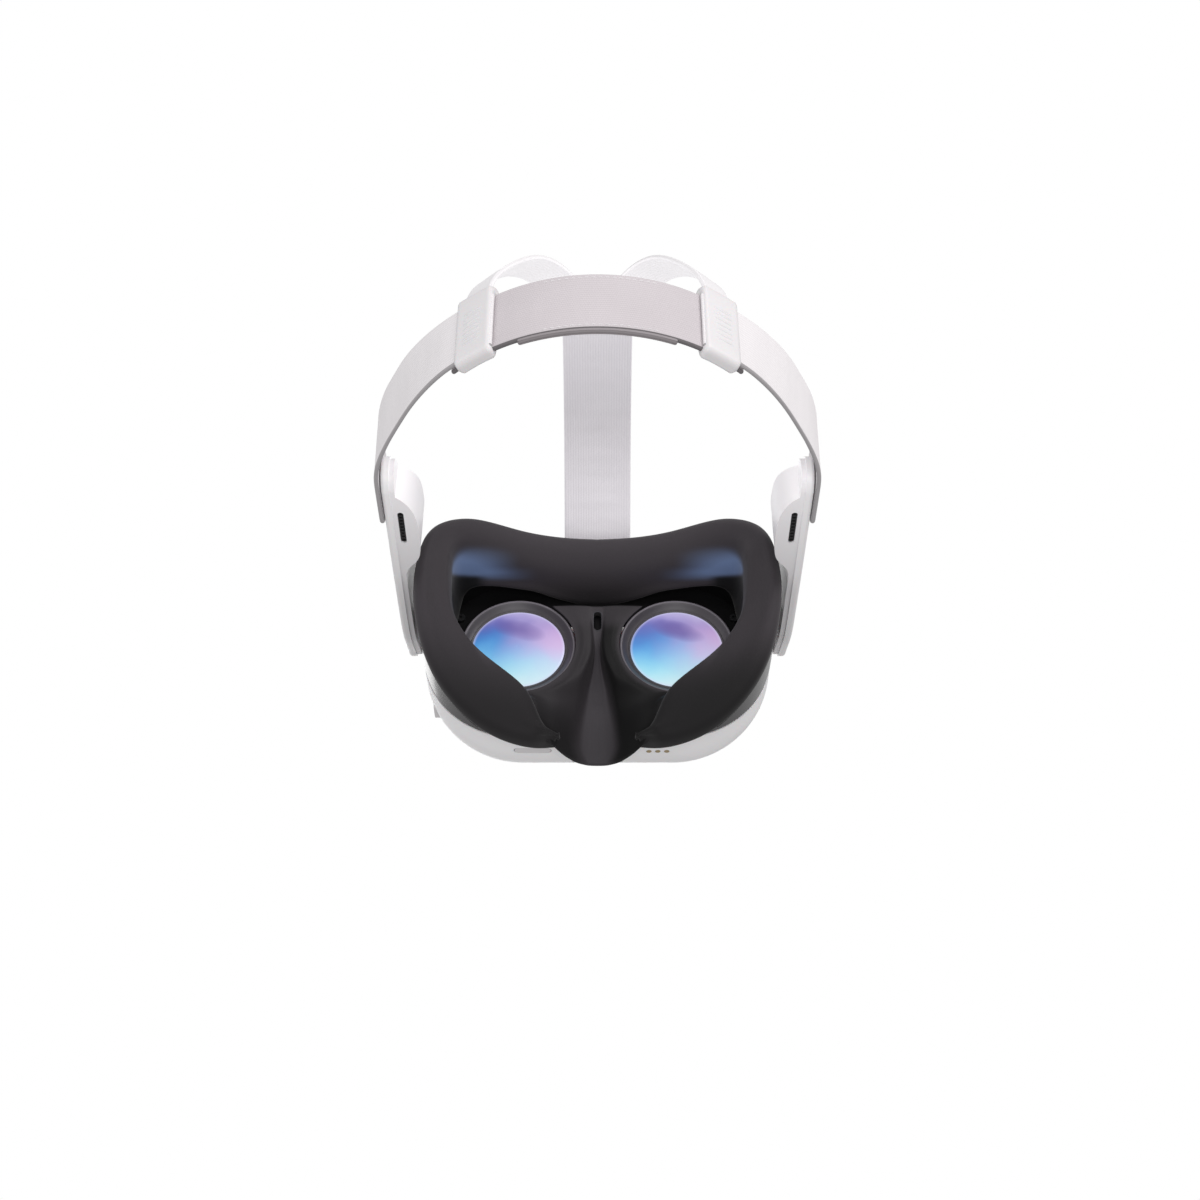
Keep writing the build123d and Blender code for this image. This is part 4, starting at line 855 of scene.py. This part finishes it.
def cushion():
    share = np.linspace(0, 1, CUSHION_ROWS)
    outer = spline(FOAM_OUT, CUSHION_ROWS)
    inner_share = np.clip(eased(share, OUT_TO_IN, 12), 0, 1)
    inner = interp_rows(inner_share * 599, np.arange(600), spline(FOAM_IN, 600))
    radius = eased(share, ROLL_RADIUS, 10)
    edge_inward = eased(share, EDGE_INWARD, 8)
    edge_depth = eased(share, EDGE_DEPTH, 10)
    upper_edge = eased(share, INNER_EDGE, 6)
    brow = 1 - smoothstep(0.29, 0.40, share)
    tail = smoothstep(0.40, 0.47, share)
    droop = smoothstep(.95, 1.0, share)
    rows = []
    for k in range(CUSHION_ROWS):
        inward = unit(inner[k] - outer[k])
        lower_x, lower_z = inner[k] + inward * edge_inward[k]
        lower_edge = np.array([lower_x, edge_depth[k], lower_z])
        edge = upper_edge[k] * (1 - tail[k]) + lower_edge * tail[k]
        section = cushion_section(outer[k], inner[k], radius[k], edge, brow[k])
        rows.append(section + np.array([0, -5.0, 3.2]) * droop[k])
    half = np.array(rows)
    half_painted_light = cushion_painted_light(half, share, brow, tail)
    points = np.concatenate([half[:0:-1] * MIRROR_X, half], 0)
    painted_light = np.concatenate([half_painted_light[:0:-1], half_painted_light], 0)
    # painted shade: the low part of the -X half is darker
    dark = CUSHION_ROWS - 1
    painted_light[:dark, :, 0] *= 1 - 0.5 * smoothstep(-20, -38, points[:dark, :, 2])

    verts, faces, uv = grid(to_row(points))
    ob = new_object("face_cushion_form", verts, faces, "cushion_charcoal", None,
                    uv)
    set_painted_light(ob, painted_light)
    column = np.tile(np.arange(CUSHION_COLUMNS), len(points))
    soft = smoothstep(6, 15, column) * smoothstep(29, 21, column)
    puff(ob, 1 - soft, cap_mm=0.5)
    finish_skin(ob, 0.0012, "face_cushion")


cushion()

# ------------------------------------------------------------------ nose flap
# Stations from the top down: y and z on the middle line, then x, y, z of the middle strip's
# edge, of the shoulder, of the middle of the flank and of the rim.
FLAP = [
    (2.6, 21.8, 2.6, 2.7, 21.8, 4.6, 3.1, 21.8, 10.0, 3.4, 21.8, 20.6, 3.3, 21.6),
    (2.2, 16.0, 2.5, 2.4, 16.0, 4.4, 3.2, 16.0, 8.4, 3.8, 15.8, 14.8, 3.5, 15.2),
    (1.0, 10.0, 2.2, 1.5, 10.0, 3.4, 3.2, 9.9, 6.8, 4.1, 9.6, 11.5, 3.6, 9.0),
    (-1.6, 3.0, 1.6, -0.6, 3.0, 2.6, 3.1, 2.9, 5.8, 4.3, 2.6, 10.0, 3.6, 2.0),
    (-4.2, -4.0, 1.7, -3.0, -4.0, 2.8, 3.1, -4.2, 6.2, 4.2, -4.6, 10.3, 3.6, -5.0),
    (-6.8, -11.0, 2.9, -5.2, -11.0, 4.6, 3.1, -11.4, 8.2, 3.9, -12.0, 13.0, 3.6, -12.6),
    (-9.4, -18.0, 4.6, -7.8, -18.0, 7.4, 0.2, -18.8, 11.2, 3.3, -19.4, 19.4, 3.7, -20.4),
    (-11.0, -22.0, 5.3, -9.4, -22.0, 8.8, -2.8, -22.8, 16.0, 3.0, -24.0, 27.2, 3.9, -25.4),
    (-12.2, -25.4, 5.9, -10.6, -25.4, 9.8, -5.0, -26.2, 18.0, 0.8, -27.4, 35.0, 6.2, -29.0),
    (-14.8, -31.0, 7.0, -12.8, -31.0, 10.8, -7.8, -31.8, 18.0, -0.6, -32.8, 32.4, 11.2, -33.0),
    (-17.8, -38.4, 8.0, -15.4, -38.5, 11.8, -11.0, -39.4, 17.6, -3.8, -40.6, 28.6, 8.6, -40.4),
    (-20.4, -44.4, 7.6, -18.4, -44.6, 11.6, -14.6, -45.4, 16.0, -9.0, -46.6, 24.2, 3.8, -46.6),
    (-21.8, -47.4, 5.6, -20.9, -47.5, 9.8, -17.8, -48.2, 14.6, -12.0, -49.0, 21.8, -1.0, -49.6)]
# lip rolled under the flap's lower edge: (drop, move along y)
FLAP_LIP = [(0.45, -0.25), (0.8, -0.9), (0.85, -1.8), (0.5, -2.6), (0.0, -3.0)]
# upright opening over the proximity sensor, mm
OPENING_Z = 14.2
OPENING_STRAIGHT = 2.9       # half the straight part
OPENING_RADIUS = 1.95


def flap_row(station):
    """Points and painted light across the flap at one station, from -X to +X."""
    middle = np.array([0.0, *station[:2]])
    edge, shoulder, flank, rim = station[2:].reshape(4, 3)
    stops = [middle, middle + (edge - middle) * np.array([0.55, 0.22, 0.3]), edge, shoulder,
             flank, flank + (rim - flank) * np.array([.5, .47, .5]), rim]
    half = np.array([catmull(stops, u) for u in np.linspace(0, 6, 55)])
    half[:, 1] -= 1.6 * smoothstep(48, 54, np.arange(55)) * smoothstep(-27.0, -30.0, middle[2])
    row = np.concatenate([half[::-1] * MIRROR_X, half[1:]])

    x, y, z = row.T
    past = (abs(x) - edge[0]) / max(shoulder[0] - edge[0], 0.5)
    outer_share = np.where(z < -27, 0.75, 0.35)
    on_flank = smoothstep(-0.25, 0.8, past) * smoothstep(
        rim[0], flank[0] + (rim[0] - flank[0]) * outer_share, abs(x))
    upper = smoothstep(6, 14, z)
    # painted shade: the flanks darken, the -X flank nearly to black, less near the top
    dark = 1 - np.where(x < 0, 0.93, 0.36) * on_flank * (1 - 0.75 * upper)
    # painted shade: darker towards the bottom
    low = 1 - (0.45 * smoothstep(0.3, 1.5, past) + 0.28) * smoothstep(-22, -46, z)
    # painted highlight on the middle strip, fainter on its -X side
    ridge = smoothstep(0.1, -0.5, past) * (
        1 - 0.35 * smoothstep(0.0, 1.0, -x / max(edge[0], .5)))
    return row, join(dark * low, 0.0, 0.10 * ridge * (1 - upper), 1.0)


def nose_flap():
    rows, painted_light_rows = zip(*[flap_row(station) for station in spline(FLAP, 120)])
    last = rows[-1]
    inner = 1 - np.clip(np.abs(last[:, 0]) / 22.0, 0, 1) ** 3
    lip = [last + join(0.0, move * inner, -drop * inner) for drop, move in FLAP_LIP]
    points = np.array([*rows, *lip])
    verts, faces, uv = grid(to_row(points))

    kept_faces, kept_uv = [], []
    flat = points.reshape(-1, 3)
    for k, face in enumerate(faces):
        x, y, z = flat[list(face)].mean(0)
        height = z - OPENING_Z
        height -= np.clip(height, -OPENING_STRAIGHT, OPENING_STRAIGHT)
        if y > -1 and x ** 2 + height ** 2 < OPENING_RADIUS ** 2:
            continue
        kept_faces.append(face)
        kept_uv += uv[4 * k:4 * k + 4]
    ob = new_object("nose_flap_form", verts, kept_faces, "nose_silicone", None,
                    kept_uv)
    set_painted_light(ob, [*painted_light_rows, *[painted_light_rows[-1]] * len(lip)])
    finish_skin(ob, 0.0006, "nose_flap")


def sensor_opening_rim():
    """Raised round rim of the opening, lying on the flap."""
    radius, straight, tube, count = 2.05, 2.95, 0.42, 56
    heights = stadium(radius, straight, count)[:, 1] + OPENING_Z
    flap_y = np.interp(heights, [8.4, 10, 16, 21.8], [0.2, 0.65, 1.85, 2.4]) + 0.05
    rows = []
    for k in range(10):
        turn = 2 * math.pi * k / 10
        x, z = stadium(radius + tube * math.cos(turn), straight, count).T
        rows.append(join(x, flap_y + tube * math.sin(turn), z + OPENING_Z))
    verts, faces, uv = grid(to_row(rows), close_u=True, close_v=True)
    new_object("sensor_opening_rim", verts, faces, "sensor_bridge_charcoal",
               "facial_interface", uv)


def sensor_pane():
    """Soft-edged pane in the opening."""
    count = 40
    rows = []
    for y, inset in ((-1.6, 0.0), (-0.5, 0.0), (-0.3, 0.15), (-0.22, 0.5)):
        x, z = stadium(1.85 - inset, OPENING_STRAIGHT, count).T
        rows.append(join(x, y, z + OPENING_Z))
    verts, faces, uv = grid(to_row(rows), close_v=True)
    ring = (len(rows) - 1) * count
    centre = len(verts)
    verts.append(to_row(rows[-1].mean(0)))
    for j in range(count):
        faces.append((ring + j, ring + (j + 1) % count, centre))
        uv += [(0, 0)] * 3
    new_object("sensor_pane", verts, faces, "sensor_pane_black", "visor", uv)


nose_flap()
sensor_opening_rim()
sensor_pane()

# ------------------------------------------------------------------ eye lenses
# profiles as (radius, y), turned about each lens axis
DOME = ([(0.0001, 1.0)]
        + [(r, 1.2 - 2.0 * (r / LENS_RADIUS) ** 2) for r in np.linspace(1, 20.9, 24)]
        + [(LENS_RADIUS, -1.0), (21.28, -1.7), (21.28, -3.6)])
COLLAR = [
    (21.3, -1.3), (21.6, -0.9), (22.1, -0.6), (22.9, -0.1), (23.7, 0.6), (24.5, 1.4),
    (25.2, 1.9), (25.8, 1.75), (26.05, 1.0), (25.9, 0.0), (25.3, -2.2), (24.8, -4.6),
    (24.6, -7.0)]
COLLAR_EDGE = [
    (24.3, 1.15), (24.8, 1.64), (25.3, 2.0), (25.75, 1.86), (26.0, 1.4), (25.9, 1.05)]

for side, label in SIDES:
    body = "lens_unit_" + label
    centre_x = side * LENS_X
    lens = lathe(f"lens_dome_{label}", DOME, centre_x, f"lens_coating_{label}", body)
    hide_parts(f"eye_lens_{label}")
    lathe(f"lens_collar_{label}", spline(COLLAR, 26), centre_x, "barrel_charcoal", body)
    # the collar's edge ring is lighter grey: a painted highlight line round the lens
    lathe(f"lens_collar_edge_{label}", spline(COLLAR_EDGE, 12), centre_x, "barrel_edge_grey",
          body)

# ------------------------------------------------------------------ side straps
# (x, y) seen from above, for the left: round the rear of the head, then forward to the arm
SIDE_PLAN = [
    *around_head(79.7, np.radians([30, 33, 36, 39, 42]), 0)[:, :2],
    around_head(79.8, math.radians(45), 0)[:2],
    (62.2, 162.0), (69.6, 151.4), (76.4, 139.4), (82.8, 127.0), (87.5, 116.5), (89.6, 108.5),
    (90.0, 100.0), (90.0, 90.0), (90.0, 78.0)]


def side_strap(side, label):
    x, y = spline(SIDE_PLAN, 130).T
    centre = join(x * side, y, STRAP_Z)
    normal = unit(np.cross(tangents(centre), np.array([0, 0, 1.0])))
    normal *= np.sign(normal[:, 0] * side + normal[:, 1] * 0.5)[:, None]    # turn outwards
    # bows out and leans a little between the slider and the arm
    bow = smoothstep(178.0, 142.0, y) * smoothstep(104.0, 132.0, y)
    centre = centre + normal * bow[:, None] * np.array([2.2, 2.2, 0])
    centre[:, 2] += 0.5 * bow
    normal = unit(normal + join(0.0, 0.0, -0.09 * bow))
    ob = strap(f"side_strap_{label}_webbing", centre, normal, width=28.6, thick=1.6,
               material="webbing_light", body="head_strap", crown=0.10, lip=0.12, wave=0.06,
               end_round=5.0)
    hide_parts(f"side_strap_{label}")


def tab_stitches(side, label):
    """Rectangle of stitches on the outer face near the strap's front end."""
    x = side * 90.95
    rear_y, front_y, low, high = 98.0, 80.5, 8.5, 29.5
    upright = np.linspace(low, high, 20)
    level = np.linspace(front_y, rear_y, 20)
    paths = [join(x, front_y, upright), join(x, rear_y, upright),
             join(x, level, low), join(x, level, high)]
    stitches(f"tab_stitches_{label}", paths, [np.tile([side, 0, 0], (20, 1))] * 4)


for side, label in SIDES:
    side_strap(side, label)
for side, label in SIDES:
    tab_stitches(side, label)


# ------------------------------------------------------------------ rear band and pad
def rear_band():
    radius = 77.8
    angle = np.radians(np.linspace(-44, 44, 150))
    band = strap("rear_band_webbing", around_head(radius, angle, STRAP_Z), from_head(angle),
                 width=29.8, thick=1.7, material="webbing_rear", body="head_strap",
                 crown=0.12, lip=0.10, wave=0.04)
    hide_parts("rear_band")

    between = angle[38:-38]
    piping = strap("rear_band_piping", around_head(77.9, between, 3.55), from_head(between),
                   width=0.9, thick=2.1, material="band_edge_rubber", body="head_strap",
                   lip=0.0)
    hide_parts("rear_band_edge")

    sewn = angle[46:-46]
    paths = [around_head(radius + 0.98, sewn, z) for z in (6.2, 31.8)]
    stitches("rear_band_stitches", paths, [from_head(sewn)] * 2, pitch=2.6)


def rear_pad():
    """Knit pad inside the rear band: a closed cushion with rolled edges."""
    mid_radius = 75.6            # radius that lengths round the head are measured at
    half_length, half_height, corner = math.radians(23.5) * mid_radius, 11.8, 4.5
    length, height = np.meshgrid(np.linspace(-half_length, half_length, 101),
                                 np.linspace(-half_height, half_height, 33), indexing="ij")

    # draw the corners of the rectangle in to round ones
    past_l = abs(length) - (half_length - corner)
    past_h = abs(height) - (half_height - corner)
    in_corner = (past_l > 0) & (past_h > 0)
    diagonal = np.hypot(past_l, past_h)
    reach = np.maximum(past_l, past_h)
    from_edge = np.where(in_corner, corner - reach,
                         np.minimum(half_length - abs(length), half_height - abs(height)))
    length = np.where(in_corner, np.copysign(
        half_length - corner + past_l / diagonal * reach, length), length)
    height = np.where(in_corner, np.copysign(
        half_height - corner + past_h / diagonal * reach, height), height)

    rise = np.clip(from_edge / 3.2, 0.0, 1.0)
    angle = length / mid_radius
    z = STRAP_Z + height
    head_side = around_head(76.62 - 1.5 * np.sqrt(rise * (2 - rise)), angle, z)
    band_side = around_head(76.7, angle, z)
    points = np.concatenate([head_side, band_side[:, ::-1]], 1)
    hold = np.concatenate([1 - smoothstep(1.2, 3.6, from_edge), np.ones(z.shape)], 1)
    verts, faces, uv = grid(to_row(points), close_v=True, cap=True)
    ob = new_object("rear_pad_knit_form", verts, faces, "rear_pad_knit", None, uv)
    puff(ob, [*hold.ravel(), 1.0, 1.0], cap_mm=0.9)      # the cap centres are held too
    subdivision = ob.modifiers.new("Subdivision", "SUBSURF")
    subdivision.levels = 1
    subdivision.render_levels = 1
    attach(ob, "head_strap")
    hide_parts("rear_pad")

    sewn = np.linspace(-half_length + 4, half_length - 4, 80) / mid_radius
    paths = [around_head(75.02, sewn, STRAP_Z + offset)
             for offset in (-half_height + 2.3, half_height - 2.3)]
    stitches("rear_pad_stitches", paths, [-from_head(sewn)] * 2, pitch=2.3)


rear_band()
rear_pad()

# ------------------------------------------------------------------ top strap
BAR_Y, BAR_Z = -15.0, 52.5       # bracket bar that the strap loops round
# (y, z) from the bar back over the head
TOP_SIDE = [
    (BAR_Y - 0.2, BAR_Z + 3.3), (-6.0, 64.2), (9.0, 80.0), (26.0, 93.6), (45.0, 103.0),
    (63.0, 108.2), (80.0, 110.2), (92.0, 109.6), (105.5, 106.6)]


def top_strap():
    centre = join(0.0, *spline(TOP_SIDE, 120).T)
    tangent = tangents(centre)
    normal = unit(join(0.0, -tangent[:, 2], tangent[:, 1]))
    # narrower at the bar
    width = 31.5 - 3.0 * (1 - smoothstep(0, 14, np.linspace(0, 170, len(centre))))
    ob = strap("top_strap_webbing", centre, normal, width, thick=1.8, material="webbing_top",
               crown=0.35, lip=0.12, wave=0.08)
    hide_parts("top_strap")
    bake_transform(ob)

    turn = np.radians(np.linspace(-60, 250, 40))
    from_bar = join(0.0, np.cos(turn), np.sin(turn))
    strap("top_strap_loop", np.array([0, BAR_Y, BAR_Z]) + 2.75 * from_bar, from_bar,
          width=28.0, thick=1.5, material="webbing_top", body="visor", lip=0.1)


top_strap()

# ------------------------------------------------------------------ fork legs
# (x, y, z) of the left leg, from under the top strap down to the slider
LEG = [
    (6.6, 97.0, 107.9), (9.6, 108.4, 105.8), (18.5, 130.0, 99.4), (29.3, 151.5, 83.6),
    (38.6, 166.2, 62.5), (45.3, 175.0, 40.6), (45.9, 176.0, 34.0)]
LEG_WIDTH = [(0, 14.6), (0.15, 16.4), (0.5, 16.2), (0.9, 14.6), (1, 12.6)]   # share, width
# ellipsoid standing for the head, which the legs face away from
HEAD_MIDDLE = np.array([0.0, 96.0, 15.0])
HEAD_HALF_AXES = np.array([78.0, 96.0, 93.0])


def fork_leg(side, label):
    centre = spline(LEG, 110) * np.array([side, 1, 1])
    normal = unit((centre - HEAD_MIDDLE) / HEAD_HALF_AXES ** 2)
    share = np.linspace(0, 1, len(centre))
    # the start lies under the top strap
    centre = centre - normal * (1.5 * (1 - smoothstep(0.03, 0.16, share)))[:, None]
    ob = strap(f"fork_leg_{label}_webbing", centre, normal, eased(share, LEG_WIDTH, 0),
               thick=1.6, material="webbing_leg", crown=0.25, lip=0.15, wave=0.05)
    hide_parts(f"fork_leg_{label}")
    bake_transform(ob)


def fork_stitches():
    """Two rows across the top strap where the legs leave it."""
    x = np.linspace(-13.2, 13.2, 24)
    above = 0.95                 # height over the strap's middle surface
    paths = [join(x, 101.6, 107.75 + above), join(x, 94.0, 109.4 + above)]
    stitches("fork_stitches", paths, [np.tile([0, 0.2, 1.0], (24, 1))] * 2, pitch=2.3)


for side, label in SIDES:
    fork_leg(side, label)
fork_stitches()

# ------------------------------------------------------------------ sliders
SLIDER_START, SLIDER_END = 29.6, 41.8       # degrees round the head axis


def slider_outline(end_share):
    """(radius, z) round the sleeve; end_share is 0 in the middle and 1 at either end."""
    inset = 0.9 * max(0.0, (end_share - 0.80) / 0.20) ** 2       # rounded ends
    waist = 0.35 * (1 - end_share ** 2)
    corner = 2.6
    narrow = corner * .6
    outer = 81.6 - inset - waist - corner
    inner = 75.1 + inset + 0.1 * waist + narrow
    top, bottom = 38.4 - inset - corner, 2.2 + inset + corner
    arcs = []
    for r, z, start in ((outer, top, 0), (inner, top, 90), (inner, bottom, 180),
                        (outer, bottom, 270)):
        arc_width = corner if r > 78.6 else narrow
        angle = np.radians(np.linspace(start, start + 90, 7))
        arcs.append(join(r + arc_width * np.cos(angle), z + corner * np.sin(angle)))
    outline = []
    for arc, following in zip(arcs, arcs[1:] + arcs[:1]):
        outline += [*arc, *np.linspace(arc[-1], following[0], 8)[1:-1]]
    return np.array(outline)


def slider(side, label):
    """Soft-edged sleeve that the side strap and the rear band pass through."""
    outer = []
    for k, angle in enumerate(np.radians(np.linspace(SLIDER_START, SLIDER_END, 26))):
        r, z = slider_outline(abs(k / 25 * 2 - 1)).T
        outer.append(around_head(r, side * angle, z))

    # the tunnel has the outer rows' points, flattened onto a rectangle
    r, z = slider_outline(1.0).T
    across = np.clip((r - 78.75) / 3.85 * 1.25, -1, 1)
    up = np.clip((z - 19) / 20.2 * 1.05, -1, 1)

    def tunnel(degrees, grow=0.0):
        return around_head(78.7 + across * (2.15 + grow), side * math.radians(degrees),
                           STRAP_Z + up * (15.5 + grow))

    inner = [tunnel(SLIDER_END - 0.15, grow=0.5), tunnel(SLIDER_END - 0.8)]
    inner += [tunnel(d) for d in np.linspace(SLIDER_END - 1.5, SLIDER_START + 1.5, 8)]
    inner += [tunnel(SLIDER_START + 0.8), tunnel(SLIDER_START + 0.15, grow=0.5)]
    verts, faces, uv = grid(to_row(outer + inner), close_u=True, close_v=True)
    ob = new_object(f"strap_slider_{label}_form", verts, faces, "slider_plastic",
                    f"slider_{label}", uv)
    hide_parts(f"strap_slider_{label}")


def slider_grip(side, label):
    """Seven level ribs on the slider's outer face."""
    middle, half_span = 35.7, 3.1                # degrees
    degrees = np.linspace(32.6, 38.8, 12)[:, None]
    radius = 81.3 + 0.25 * (1 - abs((degrees - middle) / half_span) ** 4)
    rib_z = np.array([-0.55, -0.3, 0.3, 0.55])   # rib section
    rib_out = np.array([-0.35, 0.0, 0.0, -0.35])
    verts, faces = [], []
    for z in np.linspace(11, 27, 7):
        rib = around_head(radius + rib_out, side * np.radians(degrees), z + rib_z)
        rib_verts, rib_faces, _ = grid(to_row(rib))
        faces += [tuple(len(verts) + i for i in face) for face in rib_faces]
        verts += rib_verts
    new_object(f"slider_grip_{label}", verts, faces, "slider_plastic", f"slider_{label}")


# The tunnel's middle height differs from the strap's only in name: both are STRAP_Z.
for side, label in SIDES:
    slider(side, label)
    slider_grip(side, label)


# ------------------------------------------------------------------ camera and floor
def aim(ob, at, to):
    ob.location = at
    ob.rotation_euler = (Vector(to) - Vector(at)).to_track_quat("-Z", "Y").to_euler()


def add_camera():
    """Camera behind and below the visor, looking at the lenses."""
    below = math.radians(36.5)
    distance = 0.766
    data = bpy.data.cameras.new("camera")
    camera = bpy.data.objects.new("camera", data)
    scene.collection.objects.link(camera)
    target = Vector(to_row((0, 0, 0)))
    aim(camera, target + distance * Vector((0, math.cos(below), -math.sin(below))), target)
    data.sensor_width = 36.0
    data.lens = 50.56
    data.shift_x = 0.00208333
    data.shift_y = 0.04
    data.clip_start = 0.01
    scene.camera = camera


def floor_material():
    """Pale floor that fades out with distance and is clear from below."""
    shader = Shader("floor_pale")
    shader.set(Base_Color=(0.9, 0.9, 0.9), Roughness=0.8, Specular_IOR_Level=0.1)
    x, y, _ = shader.split(shader.position)
    fade = shader.add("MapRange", (x * x + y * y).sqrt(), interpolation_type="SMOOTHSTEP",
                      From_Min=0.30, From_Max=1.15)
    from_below = shader.add("NewGeometry", output="Backfacing")
    clear = shader.add("BsdfTransparent")
    mixed = shader.add("MixShader", from_below.maximum(fade), shader.surface, clear)
    feed(shader.output.inputs[0], mixed)
    return materials["floor_pale"]


def add_floor():
    radius, count = 1.3, 96
    angles = [2 * math.pi * k / count for k in range(count)]
    mesh = bpy.data.meshes.new("floor")
    mesh.from_pydata([(radius * math.cos(a), radius * math.sin(a), 0) for a in angles], [],
                     [tuple(range(count))])
    floor = bpy.data.objects.new("floor", mesh)
    scene.collection.objects.link(floor)
    mesh.materials.append(floor_material())
    floor.visible_diffuse = False
    floor.visible_glossy = False
    floor.visible_transmission = False
    floor.visible_shadow = False


add_camera()
add_floor()


# ------------------------------------------------------------------ lights and world
def area(name, at, size, power, color=(1, 1, 1)):
    """Round area light aimed at the product."""
    data = bpy.data.lights.new(name, "AREA")
    data.shape = "DISK"
    data.size = size
    data.energy = power
    data.color = color
    light = bpy.data.objects.new(name, data)
    scene.collection.objects.link(light)
    aim(light, at, (0, 0.0, 0.08))


area("key", at=(-0.85, 0.95, 0.60), size=0.9, power=8.6, color=(1.0, 0.985, 0.99))
area("fill", at=(0.95, 0.75, 0.25), size=1.1, power=3.6, color=(0.98, 0.98, 1.0))
area("under", at=(-0.1, 0.85, -0.65), size=0.8, power=4.4, color=(1.0, 0.99, 1.0))
area("front", at=(0.2, -1.0, 0.7), size=1.0, power=3.0)


def add_world():
    """White world: dimmer as a light than as the camera sees it."""
    world = bpy.data.worlds.new("studio")
    scene.world = world
    world.use_nodes = True
    tree = world.node_tree
    lighting = tree.nodes["Background"]
    feed(lighting.inputs["Color"], (1, 1, 1))
    feed(lighting.inputs["Strength"], 0.55)
    seen = add_node(tree, "Background", Color=(1, 1, 1), Strength=1.0)
    camera_ray = add_node(tree, "LightPath", output="Is Camera Ray")
    mixed = add_node(tree, "MixShader", camera_ray, Wire(lighting.outputs[0]), seen)
    feed(tree.nodes["World Output"].inputs[0], mixed)


add_world()
scene.view_settings.view_transform = "Standard"
scene.view_settings.look = "None"
